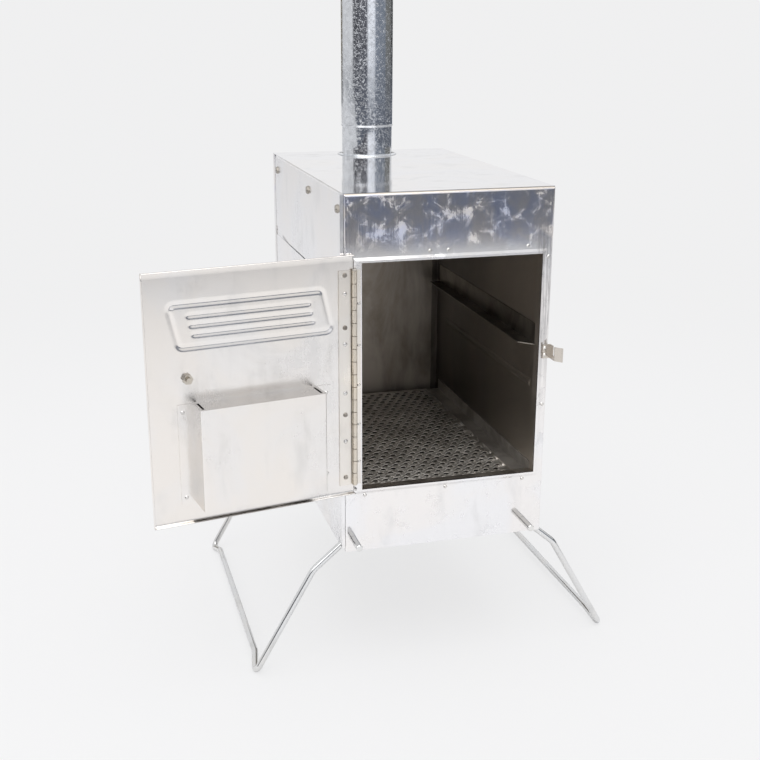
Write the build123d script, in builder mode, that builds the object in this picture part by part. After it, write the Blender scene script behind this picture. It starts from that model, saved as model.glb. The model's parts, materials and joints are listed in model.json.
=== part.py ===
"""Tent wood stove: a thin stainless sheet firebox on two folding legs of bent rod, with its fire door
standing open on a piano hinge.

Frame: millimetres, +Z up, X to the right and Y to the back as seen from the fire door. The origin is on the
ground, under the middle of the casing. Heights marked "above the case" are measured from its bottom edge.
"""

import os
from math import atan, cos, degrees, floor, radians, sin, tan

from build123d import *

os.makedirs("parts", exist_ok=True)

# Casing of folded sheet
case_width = 250.0
case_depth = 413.0
case_height = 427.0
sheet = 0.8
fold_radius = 2.5
pan_flange = 14.0
jamb_gap = 1.0
top_setback = 3.0
floor_height = 40.0
floor_lip = 15.0
bead_height = 178.0
bead_width = 10.0
bead_depth = 1.2
bead_end_gap = 45.0

# Fire door opening in the front panel: margins from the casing's corners, heights above the case
opening_left_margin = 20.0
opening_right_margin = 13.0
opening_bottom = 79.0
opening_top = 350.0
jamb_depth = 12.0
border_raise = 1.8
border_flat = 2.5
border_flank = 3.0
hinge_border_flat = 6.5

# Ledges and the supports of the grate, heights above the case
ledge_height = 230.0
ledge_upstand = 26.0
ledge_reach = 17.0
ledge_chamfer = 16.0
ledge_front_gap = 35.0
ledge_back_gap = 13.0
rest_height = 62.0
rest_upstand = 15.0
rest_reach = 27.0
front_rest_reach = 20.0
bracket_sheet = 1.0
lintel_upstand = 16.0
lintel_reach = 10.0

# Louvred grate
grate_side_gap = 19.9
grate_front_gap = 14.5
grate_back_gap = 14.0
louvre_pitch_x = 28.0
louvre_pitch_y = 24.0
louvre_length = 14.0
louvre_slot = 3.5
louvre_lip = 7.0
louvre_rise = 2.4
louvre_margin = 12.0

# Heat shields on the left side
shield_gap = 3.4
shield_seam = 320.0
shield_top_gap = 0.8
shield_front_gap = 0.8
shield_back_gap = 39.0
shield_bottom = 5.0
shield_seam_gap = 1.5
shield_cut_run = 84.0
shield_cut_rise = 11.0
upper_screw_drop = 17.5
lower_screw_height = 120.0
front_screw_inset = 10.1
middle_screw_share = 0.436
back_screw_inset = 18.7
shield_screw_head = 4.8
shield_screw_height = 2.6
spacer_radius = 3.0

# Flue
flue_radius = 35.3
flue_wall = 0.6
flue_from_back = 46.0
flue_length = 380.0
flue_seam_width = 6.0
flue_neck = 4.0
collar_height = 41.0
collar_spigot = 30.0
collar_rim = 6.0
collar_skirt = 8.0
collar_bead = 1.2

# Piano hinge
hinge_margin = 10.5
hinge_bottom = 88.0
knuckle_count = 11
knuckle_length = 23.2
knuckle_gap = 0.2
knuckle_radius = 3.1
hinge_pin_radius = 1.3
hinge_leaf = 1.2
pin_head = 1.0
fixed_leaf_width = 7.9
door_leaf_width = 18.0

# Fire door
door_open_angle = 170.08
door_overhang = 0.2
door_bottom = 77.0
door_height = 283.5
door_flange = 6.9
pressing_left = 30.0
pressing_end_gap = 21.7
pressing_bottom = 277.0
pressing_top = 327.0
pressing_width = 6.0
pressing_depth = 1.2
pressing_radius = 12.0
pressing_rib_count = 3
pressing_taper = 40.0

# Air baffle box behind the air holes
baffle_left = 45.5
baffle_end_gap = 49.8
baffle_bottom = 98.0
baffle_top = 214.0
baffle_depth = 30.0
baffle_flange = 17.0
baffle_slot_inset = 2.4
baffle_slot_length = 22.0
baffle_slot_width = 2.6
baffle_slot_gap = 3.5
air_hole_radius = 7.0
air_hole_pitch = 32.0
air_hole_count = 3
air_hole_height = 150.0

# Sliding air plate and its rails
slide_travel = 17.0
slide_sheet = 1.0
slide_height = 26.0
slide_end = 8.0
rail_sheet = 0.8
rail_foot = 7.0
rail_lip = 3.0
knob_radius = 6.0
knob_height = 9.0
knob_side_count = 10
knob_taper = 8.0

# Latch and its catch
latch_end_gap = 45.2
latch_height = 242.2
latch_bar = 3.0
latch_width = 12.0
latch_length = 53.5
latch_eye_radius = 9.0
latch_hang_angle = -90.0
grip_length = 26.0
grip_depth = 16.0
bolt_radius = 3.0
washer_radius = 7.5
washer_thickness = 1.0
washer_side_count = 20
nut_flats = 10.0
nut_height = 5.0
bolt_end = 4.0
bolt_head_flats = 10.0
bolt_head_height = 3.6
catch_sheet = 1.5
catch_bottom = 223.0
catch_height = 17.0
catch_reach = 23.0
catch_slot_depth = 12.0
catch_flare = 6.0

# Rivets and small screws
fastener_sides = 8
rivet_head = 2.2
rivet_head_height = 0.9
rivet_cone = 0.6
leaf_rivet_head = 1.9
lintel_rivet_gap = 2.0
lintel_rivet_shares = (-0.2, -0.024, 0.752)
rest_rivet_shares = (-0.808, -0.008, 0.784)
column_rivet_heights = (165.0, 346.0)
catch_rivet_shares = (0.25, 0.75)
fixed_leaf_rivet_shares = (0.11, 0.29, 0.475, 0.66, 0.85)
door_leaf_rivet_shares = (0.215, 0.443, 0.67, 0.898)
door_leaf_screw_shares = (0.04, 0.341, 0.745, 0.98)
baffle_rivet_inset = 5.5
baffle_rivet_end = 9.0
leaf_screw_head = 2.8
leaf_screw_head_height = 1.4
slot_width = 0.8
slot_share = 0.4
screw_cone = 0.8

# Folding legs of bent rod
rod_radius = 4.0
right_pivot_margin = 24.0
left_pivot_margin = 10.0
pivot_height = 16.0
tip_length = 28.0
leg_front_gap = 12.0
leg_back_gap = 33.0
thigh_length = 62.5
thigh_angle = 40.5
shin_length = 148.0
shin_angle = 60.0
foot_run = 35.0
foot_rise = 12.0
tight_bend = 8.0
knee_bend = 24.0
foot_bend = 14.0
coarse_turn = 0.5

# Clearances
hole_play = 0.05
pin_play = 0.05
rod_play = 0.08
seat_play = 0.1
strip_play = 1.0
slide_play = 0.15
door_play = 0.3
notch_play = 0.6
collar_play = 0.1
catch_play = 1.0
rivet_gap = 0.3

half_width = case_width / 2
half_depth = case_depth / 2
inner_half_width = half_width - 2 * sheet
opening_left = half_width - opening_left_margin
opening_right = half_width - opening_right_margin
hinge_x = -half_width + hinge_margin
door_width = half_width + door_overhang - hinge_x
pressing_right = door_width - pressing_end_gap
baffle_right = door_width - baffle_end_gap
latch_along = door_width - latch_end_gap
left_pivot_x = -half_width + left_pivot_margin
right_pivot_x = half_width - right_pivot_margin
leg_front_y = -half_depth + leg_front_gap
leg_back_y = half_depth - leg_back_gap


def bent(points, radii):
    """Corner points of a bent rod, with each bend's arc replaced by the tangents at its two ends and middle."""
    route = [Vector(points[0])]
    for before, corner, after, radius in zip(points, points[1:], points[2:], radii):
        come = (Vector(corner) - Vector(before)).normalized()
        leave = (Vector(after) - Vector(corner)).normalized()
        turn = radians(come.get_angle(leave))
        if turn < coarse_turn:
            route.append(Vector(corner))
            continue
        arc_start = Vector(corner) - come * radius * tan(turn / 2)
        arc_end = Vector(corner) + leave * radius * tan(turn / 2)
        route.append(arc_start + come * radius * tan(turn / 4))
        route.append(arc_end - leave * radius * tan(turn / 4))
    route.append(Vector(points[-1]))
    return route


def wire_leg(side, pivot_x):
    """Leg of one bent rod: pivot ends at z = 0, two thighs, two shins and a foot bar between its corners."""
    thigh = radians(thigh_angle)
    shin = radians(shin_angle)
    knee_x = pivot_x + side * thigh_length * cos(thigh)
    knee_z = -thigh_length * sin(thigh)
    foot_x = knee_x + side * shin_length * cos(shin)
    foot_z = knee_z - shin_length * sin(shin)
    bar_x = foot_x - side * foot_rise * cos(shin)
    bar_z = foot_z + foot_rise * sin(shin)
    front_half = [
        (pivot_x, -half_depth - tip_length, 0),
        (pivot_x, leg_front_y, 0),
        (knee_x, leg_front_y, knee_z),
        (foot_x, leg_front_y, foot_z),
        (bar_x, leg_front_y + foot_run, bar_z),
    ]
    back_half = [
        (bar_x, leg_back_y - foot_run, bar_z),
        (foot_x, leg_back_y, foot_z),
        (knee_x, leg_back_y, knee_z),
        (pivot_x, leg_back_y, 0),
        (pivot_x, half_depth + tip_length, 0),
    ]
    bends = [tight_bend, knee_bend, tight_bend, foot_bend]
    route = bent(front_half + back_half, bends + bends[::-1])
    with BuildPart() as leg:
        with BuildLine() as line:
            Polyline(*route)
        with BuildSketch(Plane(origin=front_half[0], z_dir=(0, 1, 0))):
            Circle(rod_radius)
        sweep(path=line.wires()[0], transition=Transition.RIGHT)
    return leg.part


# Standing height: the legs are shaped first, and their lowest point touches the ground
left_wire = wire_leg(-1, left_pivot_x)
right_wire = wire_leg(1, right_pivot_x)
pivot_z = -left_wire.bounding_box().min.Z
base_z = pivot_z - pivot_height
top_z = base_z + case_height

# Casing planes: each has +Z outwards, its y upwards and its zero at the case's bottom edge
front = Plane(origin=(0, -half_depth, base_z), x_dir=(1, 0, 0), z_dir=(0, -1, 0))
back = Plane(origin=(0, half_depth, base_z), x_dir=(-1, 0, 0), z_dir=(0, 1, 0))
right = Plane(origin=(half_width, 0, base_z), x_dir=(0, 1, 0), z_dir=(1, 0, 0))
left = Plane(origin=(-half_width, 0, base_z), x_dir=(0, -1, 0), z_dir=(-1, 0, 0))
pan_height = case_height - sheet
wall_fold = fold_radius - sheet + seat_play
side_flange = half_width - 2 * sheet - opening_right - jamb_gap
front_inside = front.offset(-sheet)
flue_y = half_depth - flue_from_back
collar_radius = flue_radius - flue_wall - collar_play

# Door and hinge planes. The door's own coordinates run from the pin's axis: x along the door, y up, z outwards
leaf_face = knuckle_radius + seat_play
hinge_y = -half_depth - border_raise - leaf_face
swing = radians(-door_open_angle)
hinge_foot = (hinge_x, hinge_y, base_z)
door = Plane(origin=hinge_foot, x_dir=(cos(swing), sin(swing), 0), z_dir=(sin(swing), -cos(swing), 0))
door_inside = Plane(origin=hinge_foot, x_dir=-door.x_dir, z_dir=-door.z_dir)
hinge_frame = Plane(origin=hinge_foot, x_dir=(-1, 0, 0), z_dir=(0, 1, 0))
skin_inner = leaf_face
skin_outer = leaf_face + sheet
door_top = door_bottom + door_height
hinge_length = knuckle_count * knuckle_length
strip_start = knuckle_radius + door_play


def window(low_x, high_x, low_y, high_y):
    """Rectangle of the current sketch, given by its limits."""
    with Locations(((low_x + high_x) / 2, (low_y + high_y) / 2)):
        Rectangle(high_x - low_x, high_y - low_y)


def head(radius, height, cone):
    """Faceted head standing on z = 0, tapering to a share of its radius at its top."""
    with BuildPart() as piece:
        with BuildSketch(Plane.XY):
            RegularPolygon(radius, fastener_sides, major_radius=False)
        extrude(amount=height, taper=degrees(atan((1 - cone) * radius / height)))
    return piece.part


def rivet(head_radius=rivet_head):
    """Head of a closed rivet. Its shank fills the hole in the sheets under it."""
    return head(head_radius, rivet_head_height, rivet_cone)


def places(plane, points, height=0.0):
    """Locations on a plane, each with its own z along the plane's normal."""
    return [Location(plane.offset(height)) * Location((x, y)) for x, y in points]


def inside_places(points, level):
    """Locations on the door that look inwards, at a level along the door's z."""
    return places(door_inside.offset(-level), [(-along, up) for along, up in points])


def set_of(shape, locations):
    """Builder with one copy of a shape at each location."""
    with BuildPart() as group:
        with Locations(*locations):
            add(shape)
    return group


def pan(face):
    """End pan of the casing: face plate with folded side and top flanges, open below."""
    with BuildPart() as folded:
        with BuildSketch(face):
            window(-half_width, half_width, 0, pan_height)
        extrude(amount=-pan_flange)
        outer = folded.faces().sort_by(Axis(face.origin, face.z_dir))[-1]
        fillet(outer.edges().sort_by(Axis.Z)[1:], fold_radius)
        inner = folded.faces().sort_by(Axis(face.origin, face.z_dir))[0]
        under = folded.faces().sort_by(Axis.Z)[0]
        offset(amount=-sheet, openings=[inner, under])
    return folded.part


# Fasteners of the front panel: heights above the case, x from the middle
border_top = opening_top + border_flat + border_flank
border_bottom = opening_bottom - border_flat - border_flank
lintel_line = border_top + rivet_head + lintel_rivet_gap
rest_line = border_bottom - rivet_head - rivet_gap
flange_line = opening_right + border_flat + border_flank + rivet_head + rivet_gap
lintel_rivets = [(share * half_width, lintel_line) for share in lintel_rivet_shares]
rest_rivets = [(share * half_width, rest_line) for share in rest_rivet_shares]
column_rivets = [(flange_line, row) for row in column_rivet_heights]
corner_rivets = [(-flange_line, lintel_line)]

# Catch: its base fills the strip from the border to just past the corner
catch_inner = hinge_x + door_width + catch_play
catch_outer = catch_inner + catch_sheet
catch_base = opening_right + border_flat + border_flank + seat_play
catch_points = [(flange_line, catch_bottom + catch_height * share) for share in catch_rivet_shares]

# Hinge fasteners: x from the pin's axis, heights above the case
fixed_line = (strip_start + fixed_leaf_width) / 2
fixed_points = [
    (hinge_x + fixed_line, hinge_bottom + hinge_length * share)
    for share in fixed_leaf_rivet_shares
]
leaf_line = (strip_start + door_leaf_width) / 2
leaf_rivet_points = [(leaf_line, hinge_bottom + hinge_length * share) for share in door_leaf_rivet_shares]
leaf_screw_points = [(leaf_line, hinge_bottom + hinge_length * share) for share in door_leaf_screw_shares]

# Holes and notches for the rod
rod_hole_radius = rod_radius + rod_play
notch_radius = rod_radius + notch_play

# Heat shield screws: y along the left side runs towards the front
shield_front = half_depth - shield_front_gap
shield_back = -half_depth + shield_back_gap
front_row = shield_front - front_screw_inset
back_row = shield_back + back_screw_inset
middle_row = front_row + (back_row - front_row) * middle_screw_share
screw_heights = (case_height - upper_screw_drop, lower_screw_height)
front_screw_points = [(front_row, up) for up in screw_heights]
wall_screw_points = [(along, up) for along in (middle_row, back_row) for up in screw_heights]
shield_screw_points = front_screw_points + wall_screw_points


def notch_top(pivot_x):
    """Top of a leg's notch in the side wall, above the case, where the wall's inner face meets the rod."""
    drop = (inner_half_width - abs(pivot_x)) * tan(radians(thigh_angle))
    return pivot_height - drop + rod_radius / cos(radians(thigh_angle)) + notch_play


def leg_notches(face, pivot_x):
    """Solid that cuts both leg notches, from the bottom edge up, in the sheets just inside a side plane."""
    top = notch_top(pivot_x)
    with BuildPart() as cutter:
        with BuildSketch(face):
            for leg_y in (leg_front_y, leg_back_y):
                along = leg_y * face.x_dir.Y
                with Locations((along, top - notch_radius)):
                    Circle(notch_radius)
                window(along - notch_radius, along + notch_radius, -2 * notch_radius, top - notch_radius)
        extrude(amount=-3 * sheet)
    return cutter.part


with BuildPart() as pivot_holes:
    with BuildSketch(front.offset(pan_flange)):
        with Locations((left_pivot_x, pivot_height), (right_pivot_x, pivot_height)):
            Circle(rod_hole_radius)
    extrude(amount=-case_depth - 2 * pan_flange)
left_notches = leg_notches(left, left_pivot_x)
right_notches = leg_notches(right, right_pivot_x)

# Front panel: the pan with its pressed border, the folded jamb, and the holes
with BuildPart() as front_panel:
    add(pan(front))
    for start, mode in ((0, Mode.ADD), (-sheet, Mode.SUBTRACT)):
        with BuildSketch(front.offset(start)):
            window(
                -opening_left - hinge_border_flat - border_flank,
                opening_right + border_flat + border_flank,
                border_bottom,
                border_top,
            )
        with BuildSketch(front.offset(start + border_raise)):
            window(
                -opening_left - hinge_border_flat,
                opening_right + border_flat,
                opening_bottom - border_flat,
                opening_top + border_flat,
            )
        loft(ruled=True, mode=mode)
    with BuildSketch(front.offset(border_raise)):
        window(
            -opening_left - sheet,
            opening_right + sheet,
            opening_bottom - sheet,
            opening_top + sheet,
        )
    extrude(amount=-border_raise - jamb_depth)
    with BuildSketch(front.offset(border_raise)):
        window(-opening_left, opening_right, opening_bottom, opening_top)
    extrude(amount=-border_raise - jamb_depth, mode=Mode.SUBTRACT)
    add(pivot_holes.part, mode=Mode.SUBTRACT)
    add(left_notches, mode=Mode.SUBTRACT)
    add(right_notches, mode=Mode.SUBTRACT)
front_panel.part.label = "front_panel"
export_step(front_panel.part, "parts/front_panel.step")

# Back panel: the same pan, closed, with the legs' holes and the flue's hole cut into its top flange
with BuildPart() as back_panel:
    add(pan(back))
    add(pivot_holes.part, mode=Mode.SUBTRACT)
    with BuildSketch(Plane.XY.offset(top_z)):
        with Locations((0, flue_y)):
            Circle(collar_radius + seat_play)
    extrude(amount=-2 * sheet, mode=Mode.SUBTRACT)
back_panel.part.label = "back_panel"
export_step(back_panel.part, "parts/back_panel.step")


def side_wall(side, notches):
    """Side panel between the end pans: web, inward flanges, a pressed bead and the leg notches."""
    reach = half_depth - sheet
    wall_face = side.offset(-sheet)
    with BuildPart() as wall:
        with BuildSketch(wall_face):
            window(-reach, reach, 0, pan_height)
        extrude(amount=-side_flange)
        outer = wall.faces().sort_by(Axis(side.origin, side.z_dir))[-1]
        fillet(outer.edges().filter_by(Axis.Z), wall_fold)
        inner = wall.faces().sort_by(Axis(side.origin, side.z_dir))[0]
        under = wall.faces().sort_by(Axis.Z)[0]
        offset(amount=-sheet, openings=[inner, under])
        with BuildSketch(wall_face):
            for end in (-1, 1):
                edge, beyond = sorted((end * (reach - pan_flange), 2 * end * reach))
                window(edge, beyond, pan_height - fold_radius, case_height)
        extrude(amount=-side_flange, mode=Mode.SUBTRACT)
        add(pivot_holes.part, mode=Mode.SUBTRACT)
        bead_reach = reach - bead_end_gap
        for start, mode in ((-sheet, Mode.ADD), (0, Mode.SUBTRACT)):
            with BuildSketch(wall_face.offset(start)):
                window(-bead_reach, bead_reach, bead_height - bead_width / 2, bead_height + bead_width / 2)
            with BuildSketch(wall_face.offset(start - bead_depth)):
                window(
                    -bead_reach + bead_width / 4,
                    bead_reach - bead_width / 4,
                    bead_height - bead_width / 4,
                    bead_height + bead_width / 4,
                )
            loft(ruled=True, mode=mode)
        add(notches, mode=Mode.SUBTRACT)
    return wall


side_panel_left = side_wall(left, left_notches)
side_panel_left.part.label = "side_panel_left"
export_step(side_panel_left.part, "parts/side_panel_left.step")
side_panel_right = side_wall(right, right_notches)
side_panel_right.part.label = "side_panel_right"
export_step(side_panel_right.part, "parts/side_panel_right.step")

# Top plate, lying on the flanges of the four walls, with the flue's hole
with BuildPart() as top_plate:
    with BuildSketch(Plane.XY.offset(top_z - sheet)):
        Rectangle(case_width, case_depth - 2 * top_setback)
        with Locations((0, flue_y)):
            Circle(collar_radius + seat_play, mode=Mode.SUBTRACT)
    extrude(amount=sheet)
top_plate.part.label = "top_plate"
export_step(top_plate.part, "parts/top_plate.step")

# Ash floor: a shallow tray between the side walls, above the folded legs
with BuildPart() as floor_pan:
    with BuildSketch(Plane.XY.offset(base_z + floor_height)):
        Rectangle(2 * inner_half_width, case_depth - 4 * sheet)
    extrude(amount=floor_lip)
    fillet(floor_pan.edges().filter_by(Axis.Z), fold_radius)
    offset(amount=-sheet, openings=floor_pan.faces().sort_by(Axis.Z)[-1])
floor_pan.part.label = "floor_pan"
export_step(floor_pan.part, "parts/floor_pan.step")


def ledge(side):
    """Angle on a side wall: upstand on the wall, shelf inwards with its front corner cut off."""
    direction = side.x_dir.Y
    start = -half_depth + ledge_front_gap
    end = half_depth - ledge_back_gap
    low, high = sorted((start * direction, end * direction))
    face = side.offset(-2 * sheet)
    with BuildPart() as angle:
        with BuildSketch(face):
            window(low, high, ledge_height, ledge_height + ledge_upstand)
        extrude(amount=-bracket_sheet)
        with BuildSketch(face):
            window(low, high, ledge_height, ledge_height + bracket_sheet)
        extrude(amount=-ledge_reach)
        tip = angle.faces().sort_by(Axis(side.origin, side.z_dir))[0]
        chamfer(tip.edges().filter_by(Axis.Z).sort_by(Axis.Y)[0], ledge_chamfer - bracket_sheet)
    return angle


ledge_left = ledge(left)
ledge_left.part.label = "ledge_left"
export_step(ledge_left.part, "parts/ledge_left.step")
ledge_right = ledge(right)
ledge_right.part.label = "ledge_right"
export_step(ledge_right.part, "parts/ledge_right.step")

front_rest_end = -half_depth + sheet + front_rest_reach


def grate_rest(side):
    """Angle on a side wall that carries one long edge of the grate."""
    direction = side.x_dir.Y
    start = front_rest_end + strip_play
    end = half_depth - grate_back_gap
    low, high = sorted((start * direction, end * direction))
    face = side.offset(-2 * sheet)
    with BuildPart() as angle:
        with BuildSketch(face):
            window(low, high, rest_height - bracket_sheet, rest_height + rest_upstand)
        extrude(amount=-bracket_sheet)
        with BuildSketch(face):
            window(low, high, rest_height - bracket_sheet, rest_height)
        extrude(amount=-rest_reach)
    return angle


grate_rest_left = grate_rest(left)
grate_rest_left.part.label = "grate_rest_left"
export_step(grate_rest_left.part, "parts/grate_rest_left.step")
grate_rest_right = grate_rest(right)
grate_rest_right.part.label = "grate_rest_right"
export_step(grate_rest_right.part, "parts/grate_rest_right.step")

# Front support of the grate, riveted behind the sill
strip_half = inner_half_width - side_flange - strip_play
rest_sill = opening_bottom - sheet - strip_play
with BuildPart() as grate_rest_front:
    with BuildSketch(front_inside):
        window(-strip_half, strip_half, rest_height - bracket_sheet, rest_sill)
    extrude(amount=-bracket_sheet)
    with BuildSketch(front_inside):
        window(-strip_half, strip_half, rest_height - bracket_sheet, rest_height)
    extrude(amount=-front_rest_reach)
grate_rest_front.part.label = "grate_rest_front"
export_step(grate_rest_front.part, "parts/grate_rest_front.step")

# Stiffening angle behind the panel, over the opening
lintel_bottom = lintel_line - lintel_upstand / 2 + strip_play
with BuildPart() as door_lintel:
    with BuildSketch(front_inside):
        window(-strip_half, strip_half, lintel_bottom, lintel_bottom + lintel_upstand)
    extrude(amount=-bracket_sheet)
    with BuildSketch(front_inside):
        window(
            -strip_half,
            strip_half,
            lintel_bottom + lintel_upstand - bracket_sheet,
            lintel_bottom + lintel_upstand,
        )
    extrude(amount=-lintel_reach)
door_lintel.part.label = "door_lintel"
export_step(door_lintel.part, "parts/door_lintel.step")

# Rivets of the front panel, into the angles and the side flanges behind it
panel_rivets = lintel_rivets + rest_rivets + column_rivets + corner_rivets
front_rivets = set_of(rivet(), places(front, panel_rivets))
front_rivets.part.label = "front_rivets"
export_step(front_rivets.part, "parts/front_rivets.step")

# Grate: a flat plate with staggered rows of louvres, each a slot with a raised lip behind it
grate_length = case_depth - grate_front_gap - grate_back_gap
grate_width = 2 * (inner_half_width - grate_side_gap)
grate_middle = (grate_front_gap - grate_back_gap) / 2
row_count = floor((grate_length - 2 * louvre_margin) / louvre_pitch_y)
row_width = grate_width - 2 * louvre_margin
louvres = []
for row in range(row_count):
    shift = 0.5 * (row % 2)
    count = floor(row_width / louvre_pitch_x - shift)
    row_y = grate_middle + (row - (row_count - 1) / 2) * louvre_pitch_y
    for column in range(count):
        louvres.append(((column - (count - 1) / 2) * louvre_pitch_x, row_y))
grate_top = base_z + rest_height + sheet
with BuildPart() as lip:
    with BuildSketch(Plane.YZ):
        Polygon((0, 0), (louvre_lip, 0), (0, louvre_rise), align=None)
    extrude(amount=louvre_length / 2, both=True)
with BuildPart() as grate:
    with BuildSketch(Plane.XY.offset(base_z + rest_height)):
        with Locations((0, grate_middle)):
            Rectangle(grate_width, grate_length)
        with Locations(*louvres):
            Rectangle(louvre_length, louvre_slot, mode=Mode.SUBTRACT)
    extrude(amount=sheet)
    with Locations(*[(x, y + louvre_slot / 2, grate_top) for x, y in louvres]):
        add(lip.part)
grate.part.label = "grate"
export_step(grate.part, "parts/grate.step")

# Heat shields: two plates standing off the left side, folded to the casing along their front edges
shield_face = left.offset(shield_gap)
shield_fold = shield_gap - seat_play
shield_high = case_height - shield_top_gap


def shield(low, high):
    """Shield plate between two heights, with its front fold and its back corners cut off."""
    with BuildPart() as plate:
        with BuildSketch(shield_face):
            window(shield_back, shield_front, low, high)
        extrude(amount=sheet)
        chamfer(plate.edges().filter_by(Axis.X).sort_by(Axis.Y)[-2:], fold_radius)
        with BuildSketch(shield_face):
            window(shield_front - sheet, shield_front, low, high)
        extrude(amount=-shield_fold)
    return plate.part


# The upper shield is folded along its top as well, and its lower edge rises towards the back
with BuildPart() as shield_upper:
    add(shield(shield_seam, shield_high))
    with BuildSketch(shield_face):
        window(shield_back + fold_radius, shield_front, shield_high - sheet, shield_high)
    extrude(amount=-shield_fold)
    with BuildSketch(shield_face):
        Polygon(
            (shield_back, shield_seam),
            (shield_back + shield_cut_run, shield_seam),
            (shield_back, shield_seam + shield_cut_rise),
            align=None,
        )
    extrude(amount=sheet, mode=Mode.SUBTRACT)
shield_upper.part.label = "shield_upper"
export_step(shield_upper.part, "parts/shield_upper.step")
with BuildPart() as shield_lower:
    add(shield(shield_bottom, shield_seam - shield_seam_gap))
    add(leg_notches(shield_face.offset(2 * sheet), left_pivot_x), mode=Mode.SUBTRACT)
shield_lower.part.label = "shield_lower"
export_step(shield_lower.part, "parts/shield_lower.step")

# Threaded posts behind the shields, on the side panel and, at the front, on the front panel's flange
with BuildPart() as shield_spacers:
    for seat, points in ((0, front_screw_points), (-sheet, wall_screw_points)):
        with BuildSketch(left.offset(seat)):
            with Locations(*points):
                RegularPolygon(spacer_radius, fastener_sides)
        extrude(amount=shield_gap - seat)
shield_spacers.part.label = "shield_spacers"
export_step(shield_spacers.part, "parts/shield_spacers.step")


def screw(head_radius, head_height):
    """Slotted head of a pan-head screw. Its thread is buried in the metal under it."""
    with BuildPart() as piece:
        add(head(head_radius, head_height, screw_cone))
        with BuildSketch(Plane.XY.offset(head_height)):
            Rectangle(3 * head_radius, slot_width)
        extrude(amount=-slot_share * head_height, mode=Mode.SUBTRACT)
    return piece.part


shield_screws = set_of(
    screw(shield_screw_head, shield_screw_height),
    places(shield_face.offset(sheet), shield_screw_points),
)
shield_screws.part.label = "shield_screws"
export_step(shield_screws.part, "parts/shield_screws.step")

# Flue collar: a rim on the top plate, a skirt through it and a spigot with a stop bead for the pipe
flue_base = Plane(origin=(0, flue_y, top_z), x_dir=(1, 0, 0), z_dir=(0, -1, 0))
with BuildPart() as flue_collar:
    with BuildSketch(flue_base):
        with BuildLine():
            Polyline(
                (collar_radius, collar_height),
                (collar_radius, collar_height + collar_spigot),
                (collar_radius - flue_wall, collar_height + collar_spigot),
                (collar_radius - flue_wall, -sheet - collar_skirt),
                (collar_radius, -sheet - collar_skirt),
                (collar_radius, 0),
                (collar_radius + collar_rim, 0),
                (collar_radius + collar_rim, flue_wall),
                (collar_radius, flue_wall),
                (collar_radius, collar_height - 2 * collar_bead),
                (collar_radius + collar_bead, collar_height - collar_bead),
                close=True,
            )
        make_face()
    revolve(axis=Axis((0, flue_y, 0), (0, 0, 1)))
flue_collar.part.label = "flue_collar"
export_step(flue_collar.part, "parts/flue_collar.step")

# Flue pipe: one section pushed over the spigot, drawn in at its top for the next one, lock seam at the back
neck_start = flue_length - collar_spigot - flue_neck
seam_start = flue_radius - flue_wall / 2
with BuildPart() as flue_pipe:
    with BuildSketch(flue_base):
        with BuildLine():
            Polyline(
                (flue_radius, collar_height),
                (flue_radius, collar_height + neck_start),
                (collar_radius, collar_height + neck_start + flue_neck),
                (collar_radius, collar_height + flue_length),
                (collar_radius - flue_wall, collar_height + flue_length),
                (collar_radius - flue_wall, collar_height + neck_start + flue_neck),
                (flue_radius - flue_wall, collar_height + neck_start),
                (flue_radius - flue_wall, collar_height),
                close=True,
            )
        make_face()
    revolve(axis=Axis((0, flue_y, 0), (0, 0, 1)))
    with BuildSketch(Plane.XY.offset(top_z + collar_height)):
        with Locations((0, flue_y + seam_start + flue_wall)):
            Rectangle(flue_seam_width, 2 * flue_wall)
    extrude(amount=neck_start)
flue_pipe.part.label = "flue_pipe"
export_step(flue_pipe.part, "parts/flue_pipe.step")


def hinge_leaf_half(plane, direction, width, first):
    """Half of the piano hinge: a strip with every other knuckle rolled from it and bored for the pin.

    The plane's z runs from the pin's axis to the sheet that the strip is fastened to.
    """
    middles = [hinge_bottom + knuckle_length * (number + 0.5) for number in range(first, knuckle_count, 2)]
    rolled = knuckle_length - knuckle_gap
    with BuildPart() as leaf:
        with BuildSketch(plane.offset(leaf_face)):
            limits = sorted((direction * strip_start, direction * width))
            window(*limits, hinge_bottom, hinge_bottom + hinge_length)
            with Locations(*[(direction * strip_start / 2, middle) for middle in middles]):
                Rectangle(strip_start, rolled)
        extrude(amount=-hinge_leaf)
        for middle in middles:
            with BuildSketch(Plane(origin=(hinge_x, hinge_y, base_z + middle - rolled / 2))):
                Circle(knuckle_radius)
            extrude(amount=rolled)
        with BuildSketch(Plane(origin=(hinge_x, hinge_y, base_z + hinge_bottom))):
            Circle(hinge_pin_radius + pin_play)
        extrude(amount=hinge_length, mode=Mode.SUBTRACT)
    return leaf


# Piano hinge: one half on the pressed border, one on the door, and the pin through both
hinge_fixed_leaf = hinge_leaf_half(hinge_frame, -1, fixed_leaf_width, 0)
hinge_fixed_leaf.part.label = "hinge_fixed_leaf"
export_step(hinge_fixed_leaf.part, "parts/hinge_fixed_leaf.step")
hinge_door_leaf = hinge_leaf_half(door, 1, door_leaf_width, 1)
hinge_door_leaf.part.label = "hinge_door_leaf"
export_step(hinge_door_leaf.part, "parts/hinge_door_leaf.step")

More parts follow.
